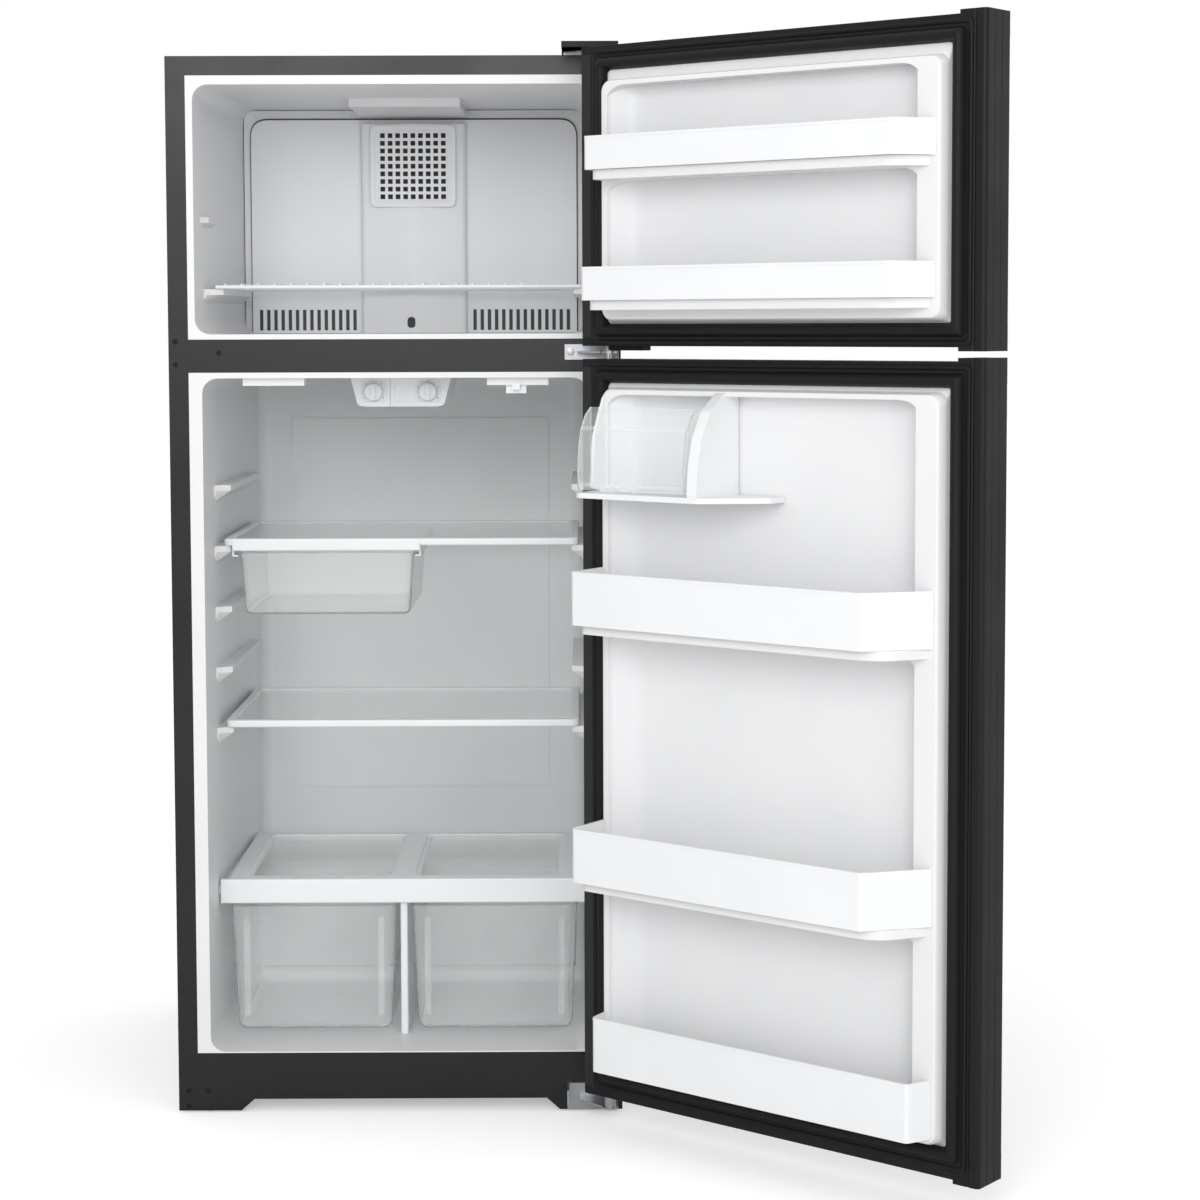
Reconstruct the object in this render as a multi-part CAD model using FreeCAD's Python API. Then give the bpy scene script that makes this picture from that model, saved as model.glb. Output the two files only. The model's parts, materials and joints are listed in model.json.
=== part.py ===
import FreeCAD, Part
import math
import os

# Top freezer refrigerator, millimetres, +Z up.  It is drawn with X = 0 at the middle of the
# cabinet, Y = 0 at the cabinet's front face, +Y towards the back and Z = 0 on the floor, with
# both doors shut.  The doors are then swung open and everything is moved so that the origin is
# the bottom centre of the whole open refrigerator's box.

V = FreeCAD.Vector

# ---------------------------------------------------------------- cabinet
CASE_WIDTH = 710.0
CASE_TOP = 1676.0
CASE_DEPTH = 680.0
PANEL_BOTTOM = 14.0          # underside of the side panels above the floor
SHEET = 1.0                  # steel sheet of the cabinet and doors
SIDE_FLANGE = 31.0           # front return of the side panels
TOP_FLANGE = 30.0            # front return of the top panel
LINER_WALL = 1.5             # vacuum-formed liner
OPENING_BOTTOM = 96.0        # lower edge of the fresh-food opening
RAIL_LOW = 1183.0            # centre rail between the two compartments
RAIL_HIGH = 1235.0
RAIL_DEEP = 12.0             # depth of the centre rail's channel
FLOOR_LIP = 2.0              # fresh-food floor above the opening's edge

FREEZER_HALF_FRONT = 313.0   # half widths inside, at the front and at the back wall
FREEZER_HALF_BACK = 295.0
FREEZER_FLOOR = 1243.0
FREEZER_CEILING = 1632.0
FRESH_HALF_FRONT = 303.0
FRESH_HALF_BACK = 290.0
FRESH_CEILING = 1174.0
INSIDE_DEPTH = 592.0         # back wall of both compartments
BACK_FOAM = 70.0             # foam behind the back wall
STEP_Y = 434.0               # front of the step over the machine compartment
STEP_TOP = 300.0
STEP_FOAM = 40.0
FLOOR_FOAM = 40.0

# ---------------------------------------------------------------- hinges and doors
PIVOT_INSET = 20.0           # hinge pins from the side of the cabinet
PIVOT_OUT = 57.0             # hinge pins in front of the cabinet
PIN_RADIUS = 5.0
PIN_CLEARANCE = 0.06
DOOR_GAP = 18.0              # door's inner rim to the cabinet, filled by the gasket
DOOR_THICK = 65.0
DOOR_REST_ANGLE = 141.0      # both doors stand this far open
FREEZER_DOOR_LOW = 1224.0
FREEZER_DOOR_HIGH = 1680.0
FRESH_DOOR_LOW = 52.0
FRESH_DOOR_HIGH = 1204.0
TRIM_WIDTH = 42.0            # handle trim on the free edge
TRIM_OVERHANG = 5.5          # trim past the door's ends
TRIM_ROUND = 9.0
GRIP_WIDTH = 24.0            # finger groove in the handle trim
GRIP_DEPTH = 26.0
GRIP_LIP = 8.0
CAP_HEIGHT = 12.0            # plastic end caps of a door
RIM = 2.0                    # thickness of the caps' and trim's inner rim
HINGE_PLATE = 3.0
BUSHING_WALL = 3.0
BUSHING_LONG = 24.0

GASKET_INSET = 20.0          # gasket from the door's side edges
GASKET_WIDTH = 31.0
GASKET_BASE = 4.0
SEAL_GAP = 0.3               # gasket to cabinet when shut
DIKE_HEIGHT = 25.0           # raised border of the door liner above the rim
DIKE_WIDTH = 26.0
DIKE_SET = 3.0               # dike from the gasket
DIKE_CLEAR = 2.0             # dike to the ceiling of its liner
RECESS = 12.0                # door liner's floor below the rim
DOOR_LINER_WALL = 2.0
LEDGE_THICK = 14.0           # moulded shelves of the door liners

# ---------------------------------------------------------------- inside
SHELF_GAP = 0.3              # loose pieces to what carries them
SHELF_FRONT = 100.0
SHELF_BACK = 480.0
SHELF_HALF = 287.0
SHELF_THICK = 12.0
SHELF_RIM = 16.0
GLASS = 3.2
LOWER_SHELF = 617.0          # tops of the glass shelves
SHELF_PITCH = 98.7
UPPER_SHELF = LOWER_SHELF + 3 * SHELF_PITCH
LEDGE_REACH = 11.0           # liner ledges under the shelves' edges
LEDGE_DEEP = 9.0
COVER_TOP = 357.0            # crisper cover
COVER_PLATE = 12.0
COVER_FRONT = 90.0
COVER_BACK = 480.0
COVER_HALF = 286.0
FASCIA_HEIGHT = 40.0
FASCIA_THICK = 9.0
CRISPER_FRONT = 97.0
CRISPER_DEPTH = 326.0
CRISPER_WALL = 2.5
CRISPER_LOW = 104.0
CRISPER_TALL = 208.0
CRISPER_HALF_OUT = 283.0
DIVIDER_HALF = 9.0
DIVIDER_GAP = 3.0
RUNNER_WIDTH = 8.0
PAN_LEFT = -262.0            # snack pan under the upper shelf
PAN_RIGHT = 20.0
PAN_LOW = 788.0
PAN_HIGH = 889.0
PAN_WALL = 2.5
PAN_LIP = 8.0
PAN_DEPTH = 330.0
RAIL_SHEET = 2.5
FREEZER_SHELF = 1324.0
WIRE_HALF = 292.0
WIRE_FRONT = 84.0
WIRE_BACK = 440.0
WIRE_THIN = 1.6
WIRE_THICK = 3.0
WIRE_WELD = 0.6              # wires sink this far into the rods they are welded to
WIRE_COUNT = 22

COVER_PANEL_Y = 480.0        # evaporator cover
COVER_PANEL_WALL = 2.0
COVER_PANEL_TOP = 1614.0
COVER_PANEL_HALF = 284.0
COLUMN_HALF = 92.0
COLUMN_OUT = 22.0
GRILLE_HALF = 70.0
GRILLE_LOW = 1466.0
GRILLE_HIGH = 1599.0
GRILLE_HOLES = 9
GRILLE_HOLE = 7.6
GRILLE_PITCH = 12.4
SLOT_COUNT = 14
SLOT_PITCH = 12.6
SLOT_WIDTH = 6.0
SLOT_LOW = 1248.0
SLOT_HIGH = 1284.0
FAN_RADIUS = 52.0

CONTROL_HALF_TOP = 82.0      # control housing on the fresh-food ceiling
CONTROL_HALF_LOW = 70.0
CONTROL_LOW = 1125.0
CONTROL_FRONT = 125.0
CONTROL_DEEP = 210.0
CONTROL_WALL = 2.0
KNOB_X = 44.0
KNOB_Z = 1149.0
KNOB_RADIUS = 15.0
KNOB_DEEP = 13.0
KNOB_SHAFT = 3.0

# ---------------------------------------------------------------- base
FRONT_RAIL_LOW = 24.0
FRONT_RAIL_DEEP = 44.0
KICK_THICK = 2.0
KICK_LOW = 21.0              # middle of the kick plate above the floor
KICK_FOOT = 2.5
KICK_FOOT_WIDE = 100.0
KICK_SLANT = 21.0
LEG_X = 305.0
LEG_Y = 24.0
LEG_FOOT_RADIUS = 17.0
LEG_FOOT_HIGH = 8.0
LEG_STEM_RADIUS = 5.0
ROLLER_X = 300.0
ROLLER_Y = 615.0
ROLLER_RADIUS = 13.0
ROLLER_WIDE = 18.0
AXLE_RADIUS = 4.0
BASE_PLATE_Z = 29.0
BASE_PLATE = 2.0
MACHINE_TOP = STEP_TOP - LINER_WALL - STEP_FOAM

HALF = CASE_WIDTH / 2
PIVOT_X = HALF - PIVOT_INSET
PIVOT_Y = -PIVOT_OUT
FOAM_HALF = HALF - SHEET
FOAM_BACK = INSIDE_DEPTH + LINER_WALL + BACK_FOAM
FRESH_FLOOR = OPENING_BOTTOM + FLOOR_LIP
BOTTOM_SHEET_Z = FRESH_FLOOR - LINER_WALL - FLOOR_FOAM
LINER_LAND = HALF - SIDE_FLANGE
FOAM_FRONT = KICK_THICK
WIRE_ROD_LOW = FREEZER_SHELF - 2 * WIRE_THIN + WIRE_WELD - 2 * WIRE_THICK

nodes = {}


# ---------------------------------------------------------------- small helpers
# ---------------------------------------------------------------- screws
SCREW_RADIUS = 3.0
SCREW_HEAD = 6.0
SCREW_HEAD_HIGH = 3.0
SCREW_HOLE = 3.2
SCREW_DEEP = 9.0
HINGE_LEFT = PIVOT_X - 68
ARM_LEFT = PIVOT_X - 48
HINGE_SCREW_X = (PIVOT_X - 38, PIVOT_X - 8)
CENTRE_HINGE_Z = (FRESH_DOOR_HIGH + FREEZER_DOOR_LOW) / 2
CENTRE_SPOTS = [(344, CENTRE_HINGE_Z - 18), (344, CENTRE_HINGE_Z + 18), (276, CENTRE_HINGE_Z)]
TOP_HINGE_SPOTS = [(x, y) for x in HINGE_SCREW_X for y in (16.0, 44.0)]
BOTTOM_HINGE_Z = 25.0
BOTTOM_FLANGE_TOP = 46.0
BOTTOM_SPOTS = [(339, 10), (339, 35), (308, 35)]
PLUG_RADIUS = 4.0
REVERSE_TOP = [(-x, y) for x, y in TOP_HINGE_SPOTS]
REVERSE_FRONT = [(-x, z) for x, z in CENTRE_SPOTS]
REVERSE_BASE = [(-x, z) for x, z in BOTTOM_SPOTS]
ICE_MAKER_Y = (200.0, 330.0)
ICE_MAKER_Z = 1545.0
ICE_MAKER_RADIUS = 2.6
BAR_WALL = 3.0
BAR_ROOT = 1.4               # the slanting ends measure this many walls where they meet the dike
BAR_NEAR = 6.0               # length of a bar's end at the hinge side, which stands nearly straight out
DIKE_LAND = DIKE_HEIGHT + 0.3
BAR_START = GASKET_INSET + GASKET_WIDTH + DIKE_SET + 1
# Each bar: lower edge, upper edge, reach into the refrigerator, length of its slanting end.
FREEZER_BARS = ((1488.0, 1538.0, 76.0, 42.0), (1293.0, 1343.0, 84.0, 42.0))
FRESH_BARS = ((806.0, 887.0, 110.0, 64.0), (415.0, 497.0, 110.0, 64.0), (112.0, 196.0, 62.0, 16.0))
# Each moulded shelf of a door liner: top, reach into the refrigerator, the bar around it.
FREEZER_SHELVES = ((1490.0, 66.0, FREEZER_BARS[0]), (1295.0, 74.0, FREEZER_BARS[1]))
FRESH_SHELVES = ((808.0, 96.0, FRESH_BARS[0]), (417.0, 96.0, FRESH_BARS[1]), (122.0, 50.0, FRESH_BARS[2]))
DAIRY_LOW = 1006.0
DAIRY_HIGH = 1136.0
DAIRY_LEFT = 84.0
DAIRY_RIGHT = 268.0
DAIRY_REACH = 62.0
LID_LEFT = 62.0
LID_OUT = 32.0
LID_WALL = 2.0
FAN_SHAFT = 2.5
FIN_COUNT = 14
SWITCH_X = 190.0
SWITCH_Z = 1160.0
CAN_RADIUS = 66.0
CAN_TALL = 164.0
CAN_DOME = 74.5              # radius of the can's domed ends
COMPRESSOR_X = -170.0
COMPRESSOR_Y = 590.0
VENT_COUNT = 22
GLAND_X = -310.0
GLAND_Z = 200.0
GLAND_RADIUS = 4.5


def box(x0, x1, y0, y1, z0, z1):
    """A block between two corners."""
    return Part.makeBox(x1 - x0, y1 - y0, z1 - z0, V(x0, y0, z0))


def rod(x, y, z, radius, length, axis=V(0, 0, 1)):
    """A cylinder that starts at x, y, z and runs along axis."""
    return Part.makeCylinder(radius, length, V(x, y, z), axis)


def fuse(shapes):
    """One clean solid out of several."""
    first, rest = shapes[0], shapes[1:]
    return (first.fuse(rest) if rest else first).removeSplitter()


def prism(points, direction):
    """A flat outline pushed along direction."""
    return Part.Face(Part.makePolygon(points + [points[0]])).extrude(direction)


def plan(points, z0, z1):
    """An outline in X and Y, pushed from z0 to z1."""
    return prism([V(x, y, z0) for x, y in points], V(0, 0, z1 - z0))


def tube_path(points, bend, radius):
    """A round tube through points, with a tangent arc at each corner."""
    edges = []
    start = points[0]
    for before, corner, after in zip(points, points[1:], points[2:]):
        into = (corner - before).normalize()
        out = (after - corner).normalize()
        turn = into.getAngle(out)
        cut = bend * math.tan(turn / 2)
        a = corner - into * cut
        b = corner + out * cut
        inward = (out - into).normalize()
        centre = corner + inward * (bend / math.cos(turn / 2))
        middle = centre - inward * bend
        if start.distanceToPoint(a) > 1e-6:
            edges.append(Part.LineSegment(start, a).toShape())
        edges.append(Part.Arc(a, middle, b).toShape())
        start = b
    edges.append(Part.LineSegment(start, points[-1]).toShape())
    first = (points[1] - points[0]).normalize()
    section = Part.Wire(Part.makeCircle(radius, points[0], first))
    return Part.Wire(edges).makePipeShell([section], True, False)


def add(name, *shapes):
    """Files one piece, or a group of like pieces, under its node's name."""
    nodes[name] = shapes[0] if len(shapes) == 1 else Part.makeCompound(list(shapes))


def half_at(front, back, y):
    """Half width of a compartment at depth y, between its front and back half widths."""
    return front + (back - front) * y / INSIDE_DEPTH


def screw(x, y, z, into):
    """A hex-head screw whose head stands on the face at x, y, z and whose shank goes into."""
    out = -into
    head = Part.Face(Part.makePolygon(hexagon(V(x, y, z), out, SCREW_HEAD))).extrude(out * SCREW_HEAD_HIGH)
    shank = Part.makeCylinder(SCREW_RADIUS, SCREW_DEEP, V(x, y, z), into)
    return fuse([head, shank])


def hexagon(centre, normal, radius):
    """Closed six-sided outline around centre, square to normal."""
    side = normal.cross(V(1, 0, 0) if abs(normal.x) < 0.9 else V(0, 1, 0)).normalize()
    other = normal.cross(side)
    corners = [math.radians(60 * k) for k in range(7)]
    return [centre + side * (radius * math.cos(a)) + other * (radius * math.sin(a)) for a in corners]


def front_holes(spots, radius=SCREW_HOLE, deep=SCREW_DEEP + 2):
    """Holes along +Y at x, z spots on the cabinet's front."""
    return Part.makeCompound([rod(x, -1, z, radius, deep, V(0, 1, 0)) for x, z in spots])


# ---------------------------------------------------------------- cabinet
def make_cabinet():
    """Side and top panels, back, centre rail and bottom sheet."""
    front_spots = CENTRE_SPOTS + REVERSE_FRONT
    panels = []
    for side in (-1, 1):
        wall = box(HALF - SHEET, HALF, 0, CASE_DEPTH, PANEL_BOTTOM, CASE_TOP - SHEET)
        flange = box(HALF - SIDE_FLANGE, HALF, 0, SHEET, OPENING_BOTTOM, CASE_TOP - TOP_FLANGE)
        corner = box(HALF - SHEET, HALF + 1, -1, KICK_THICK, PANEL_BOTTOM - 1, OPENING_BOTTOM)
        top_corner = box(HALF - SHEET, HALF + 1, -1, SHEET, CASE_TOP - TOP_FLANGE, CASE_TOP)
        panel = fuse([wall, flange]).cut(corner).cut(top_corner)
        if side < 0:
            panel = panel.mirror(V(0, 0, 0), V(1, 0, 0))
        panels.append(panel.cut(front_holes(front_spots)))
    roof = box(-HALF, HALF, 0, CASE_DEPTH, CASE_TOP - SHEET, CASE_TOP)
    brow = box(-HALF, HALF, 0, SHEET, CASE_TOP - TOP_FLANGE, CASE_TOP)
    holes = [rod(x, y, CASE_TOP - 2 * SHEET, SCREW_HOLE, 3 * SHEET) for x, y in TOP_HINGE_SPOTS + REVERSE_TOP]
    panels.append(fuse([roof, brow]).cut(Part.makeCompound(holes)))
    add("outer_case", *panels)
    back_low = MACHINE_TOP
    add("rear_panel", box(-FOAM_HALF, FOAM_HALF, FOAM_BACK, FOAM_BACK + SHEET, back_low, CASE_TOP - SHEET))
    web = box(-LINER_LAND, LINER_LAND, 0, SHEET, RAIL_LOW, RAIL_HIGH)
    low = box(-LINER_LAND, LINER_LAND, SHEET, RAIL_DEEP, RAIL_LOW, RAIL_LOW + SHEET)
    high = box(-LINER_LAND, LINER_LAND, SHEET, RAIL_DEEP, RAIL_HIGH - SHEET, RAIL_HIGH)
    add("centre_rail", fuse([web, low, high]).cut(front_holes(front_spots)))
    step = STEP_Y + LINER_WALL + STEP_FOAM
    flat = box(-FOAM_HALF, FOAM_HALF, KICK_THICK, step + SHEET, BOTTOM_SHEET_Z - SHEET, BOTTOM_SHEET_Z)
    riser = box(-FOAM_HALF, FOAM_HALF, step, step + SHEET, BOTTOM_SHEET_Z - SHEET, MACHINE_TOP)
    shelf = box(-FOAM_HALF, FOAM_HALF, step, FOAM_BACK + SHEET, MACHINE_TOP - SHEET, MACHINE_TOP)
    add("bottom_sheet", fuse([flat, riser, shelf]))


def skin_half(front, back, y):
    """Half width of a liner's outside at depth y."""
    return half_at(front, back, y) + LINER_WALL


def wall_outline(side, front, back):
    """Plan of the foam between a side panel and a liner wall."""
    outer = side * FOAM_HALF
    deep = INSIDE_DEPTH + LINER_WALL
    inner_front = side * skin_half(front, back, FOAM_FRONT)
    inner_back = side * skin_half(front, back, deep)
    return [(outer, FOAM_FRONT), (outer, deep), (inner_back, deep), (inner_front, FOAM_FRONT)]


def make_foam():
    """Foam of the cabinet, one block for each wall."""
    deep = INSIDE_DEPTH + LINER_WALL
    low_freezer = FREEZER_FLOOR - LINER_WALL
    high_fresh = FRESH_CEILING + LINER_WALL
    step = STEP_Y + LINER_WALL
    blocks = []
    for side in (-1, 1):
        blocks.append(plan(wall_outline(side, FREEZER_HALF_FRONT, FREEZER_HALF_BACK),
                           low_freezer, FREEZER_CEILING + LINER_WALL))
        blocks.append(plan(wall_outline(side, FRESH_HALF_FRONT, FRESH_HALF_BACK), BOTTOM_SHEET_Z, high_fresh))
    blocks.append(box(-FOAM_HALF, FOAM_HALF, FOAM_FRONT, FOAM_BACK, FREEZER_CEILING + LINER_WALL, CASE_TOP - SHEET))
    blocks.append(box(-FOAM_HALF, FOAM_HALF, RAIL_DEEP, deep, high_fresh, low_freezer))
    blocks.append(box(-FOAM_HALF, FOAM_HALF, deep, FOAM_BACK, STEP_TOP - LINER_WALL, FREEZER_CEILING + LINER_WALL))
    stages = ((FOAM_FRONT, step, BOTTOM_SHEET_Z, FRESH_FLOOR - LINER_WALL),
              (step, step + STEP_FOAM, BOTTOM_SHEET_Z, STEP_TOP - LINER_WALL),
              (step + STEP_FOAM, deep, MACHINE_TOP, STEP_TOP - LINER_WALL))
    for y0, y1, z0, z1 in stages:
        a = skin_half(FRESH_HALF_FRONT, FRESH_HALF_BACK, y0)
        b = skin_half(FRESH_HALF_FRONT, FRESH_HALF_BACK, y1)
        blocks.append(plan([(-a, y0), (a, y0), (b, y1), (-b, y1)], z0, z1))
    blocks.append(box(-FOAM_HALF, FOAM_HALF, deep, FOAM_BACK, MACHINE_TOP, STEP_TOP - LINER_WALL))
    liners = Part.makeCompound([liner_outside(FREEZER_HALF_FRONT, FREEZER_HALF_BACK, FREEZER_FLOOR, FREEZER_CEILING, 0),
                                liner_outside(FRESH_HALF_FRONT, FRESH_HALF_BACK, FRESH_FLOOR, FRESH_CEILING, 1)])
    machine = box(-FOAM_HALF, FOAM_HALF, step + STEP_FOAM, CASE_DEPTH, 0, MACHINE_TOP)
    sheet = nodes["bottom_sheet"]
    bores = Part.makeCompound([rod(x, y, CASE_TOP - 40, SCREW_HOLE, 40) for x, y in TOP_HINGE_SPOTS + REVERSE_TOP])
    maker = Part.makeCompound(ice_maker_holes(30))
    front = front_holes(CENTRE_SPOTS + REVERSE_FRONT, deep=14)
    kept = []
    for block in blocks:
        for tool in (liners, machine, sheet, bores, maker, front):
            block = block.cut(tool)
        kept += block.Solids
    add("cabinet_foam", *kept)


def liner_outside(front, back, low, high, stepped):
    """The whole space that a liner takes up in the foam."""
    deep = INSIDE_DEPTH + LINER_WALL
    inner = skin_half(front, back, 0)
    rear = skin_half(front, back, deep)
    shape = plan([(-inner, 0), (inner, 0), (rear, deep), (-rear, deep)], low - LINER_WALL, high + LINER_WALL)
    if stepped:
        shape = shape.cut(box(-HALF, HALF, STEP_Y + LINER_WALL, CASE_DEPTH, 0, STEP_TOP - LINER_WALL))
    return shape


def liner_inside(front, back, low, high, stepped):
    """The room inside a liner."""
    rear = half_at(front, back, INSIDE_DEPTH)
    mouth = half_at(front, back, -1)
    outline = [(-mouth, -1), (mouth, -1), (rear, INSIDE_DEPTH), (-rear, INSIDE_DEPTH)]
    shape = plan(outline, low, high)
    if stepped:
        shape = shape.cut(box(-HALF, HALF, STEP_Y, CASE_DEPTH, 0, STEP_TOP))
    return shape


def ice_maker_holes(deep):
    """Two screw holes in the freezer's left wall for an ice maker."""
    x = -half_at(FREEZER_HALF_FRONT, FREEZER_HALF_BACK, ICE_MAKER_Y[0])
    return [rod(x + 12, y, ICE_MAKER_Z, ICE_MAKER_RADIUS, deep + 12, V(-1, 0, 0)) for y in ICE_MAKER_Y]


def ledge_pair(front, back, top, y0, y1, reach, deep):
    """Two ledges on the side walls of a liner, their tops at one height."""
    ledges = []
    for side in (-1, 1):
        outline = [(side * (half_at(front, back, y) + LINER_WALL / 2), y) for y in (y0, y1)]
        outline += [(side * reach, y1), (side * reach, y0)]
        ledges.append(plan(outline, top - deep, top))
    return ledges


def make_liners():
    """Freezer and fresh-food liners with their ledges and lands."""
    room = liner_inside(FREEZER_HALF_FRONT, FREEZER_HALF_BACK, FREEZER_FLOOR, FREEZER_CEILING, 0)
    skin = liner_outside(FREEZER_HALF_FRONT, FREEZER_HALF_BACK, FREEZER_FLOOR, FREEZER_CEILING, 0)
    land = box(-LINER_LAND, LINER_LAND, 0, LINER_WALL, RAIL_HIGH, CASE_TOP - TOP_FLANGE)
    shell = fuse([skin, land]).cut(room)
    ledges = ledge_pair(FREEZER_HALF_FRONT, FREEZER_HALF_BACK, WIRE_ROD_LOW - SHELF_GAP,
                        WIRE_FRONT, WIRE_BACK, WIRE_HALF - LEDGE_REACH, LEDGE_DEEP)
    shell = fuse([shell] + ledges).cut(Part.makeCompound(ice_maker_holes(4)))
    add("freezer_liner", shell)

    room = liner_inside(FRESH_HALF_FRONT, FRESH_HALF_BACK, FRESH_FLOOR, FRESH_CEILING, 1)
    skin = liner_outside(FRESH_HALF_FRONT, FRESH_HALF_BACK, FRESH_FLOOR, FRESH_CEILING, 1)
    land = box(-LINER_LAND, LINER_LAND, 0, LINER_WALL, OPENING_BOTTOM, RAIL_LOW)
    shell = fuse([skin, land]).cut(room)
    tops = [LOWER_SHELF + k * SHELF_PITCH - SHELF_THICK - SHELF_GAP for k in range(5)]
    ledges = []
    for top in tops:
        ledges += ledge_pair(FRESH_HALF_FRONT, FRESH_HALF_BACK, top, SHELF_FRONT, SHELF_BACK,
                             SHELF_HALF - LEDGE_REACH, LEDGE_DEEP)
    ledges += ledge_pair(FRESH_HALF_FRONT, FRESH_HALF_BACK, COVER_TOP - COVER_PLATE, COVER_FRONT + FASCIA_THICK + 1,
                         COVER_BACK, COVER_HALF - 2 * RAIL_SHEET, LEDGE_DEEP)
    for x in runner_places():
        ledges.append(box(x - RUNNER_WIDTH / 2, x + RUNNER_WIDTH / 2, CRISPER_FRONT, STEP_Y - 6,
                          FRESH_FLOOR - LINER_WALL / 2, CRISPER_LOW - SHELF_GAP))
    add("fresh_food_liner", fuse([shell] + ledges))


def runner_places():
    """Middles of the four floor runners, two under each crisper."""
    inner = DIVIDER_HALF + DIVIDER_GAP
    wide = CRISPER_HALF_OUT - inner
    return [side * (inner + wide * share) for side in (-1, 1) for share in (0.2, 0.8)]


# ---------------------------------------------------------------- doors
def dbox(u0, u1, n0, n1, z0, z1):
    """A block in a shut door: u from its hinged edge, n from its inner rim to its front."""
    return box(HALF - u1, HALF - u0, -DOOR_GAP - n1, -DOOR_GAP - n0, z0, z1)


def swing(shape):
    """Turns a shut door's piece about the hinge pins to where the doors stand."""
    return shape.rotated(V(PIVOT_X, PIVOT_Y, 0), V(0, 0, 1), DOOR_REST_ANGLE)


def handle_trim(low, high):
    """Plastic trim on the free edge, with a finger groove open to the front."""
    left = CASE_WIDTH - TRIM_WIDTH
    body = dbox(left, CASE_WIDTH, 0, DOOR_THICK, low - TRIM_OVERHANG, high + TRIM_OVERHANG)
    edges = [e for e in body.Edges if abs(e.BoundBox.XMin + HALF) < 0.1 and e.BoundBox.XLength < 0.1
             and e.BoundBox.ZLength > 100]
    body = body.makeFillet(TRIM_ROUND, edges)
    groove = dbox(CASE_WIDTH - GRIP_LIP - GRIP_WIDTH, CASE_WIDTH - GRIP_LIP, DOOR_THICK - GRIP_DEPTH,
                  DOOR_THICK + 1, low + 30, high - 30)
    leg_left = CASE_WIDTH - GASKET_INSET - GASKET_WIDTH
    leg = dbox(leg_left, left, 0, RIM, low + CAP_HEIGHT, high - CAP_HEIGHT)
    return fuse([body, leg]).cut(groove)


def end_cap(low, high, pin_hole):
    """Plastic cap that closes the top or bottom of a door, with the rim that holds the gasket."""
    bar = dbox(SHEET, CASE_WIDTH - TRIM_WIDTH, 0, DOOR_THICK - SHEET, low, high)
    return bar.cut(rod(PIVOT_X, PIVOT_Y, low - 1, pin_hole, high - low + 2))


def door_blocks(low, high, shelves, grow):
    """Blocks of a door's foam; grow thickens those that stand into the refrigerator."""
    g = grow
    back = RECESS + DOOR_LINER_WALL
    left = GASKET_INSET + GASKET_WIDTH + DIKE_SET + DOOR_LINER_WALL - g
    right = CASE_WIDTH - GASKET_INSET - GASKET_WIDTH - DIKE_SET - DOOR_LINER_WALL + g
    bottom = low + DOOR_LINER_WALL - g
    top = high - DOOR_LINER_WALL + g
    crest = -DIKE_HEIGHT + DOOR_LINER_WALL - g
    wide = DIKE_WIDTH - 2 * DOOR_LINER_WALL + 2 * g
    blocks = [dbox(left, left + wide, crest, back, bottom, top),
              dbox(right - wide, right, crest, back, bottom, top),
              dbox(left + wide, right - wide, crest, back, top - wide, top),
              dbox(left + wide, right - wide, crest, back, bottom, bottom + wide)]
    for shelf_top, reach, bar in shelves:
        tip = reach - DOOR_LINER_WALL + g
        start = left + wide
        slope = (bar[3] + BAR_WALL * (1 - BAR_ROOT)) / (bar[2] - BAR_WALL - DIKE_LAND)
        inset = BAR_START + BAR_WALL * BAR_ROOT + slope * (tip - DIKE_LAND) + DIKE_SET - g
        bend = tip - max(0.0, inset - start) / slope
        half = [(start, -back), (start, bend), (max(inset, start), tip)]
        points = [(HALF - u, -DOOR_GAP + n) for u, n in half + [(CASE_WIDTH - u, n) for u, n in reversed(half)]]
        shelf = plan(points, shelf_top - LEDGE_THICK + DOOR_LINER_WALL - g, shelf_top - DOOR_LINER_WALL + g)
        blocks.append(shelf if grow else shelf.cut(blocks[3]))
    return blocks


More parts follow.
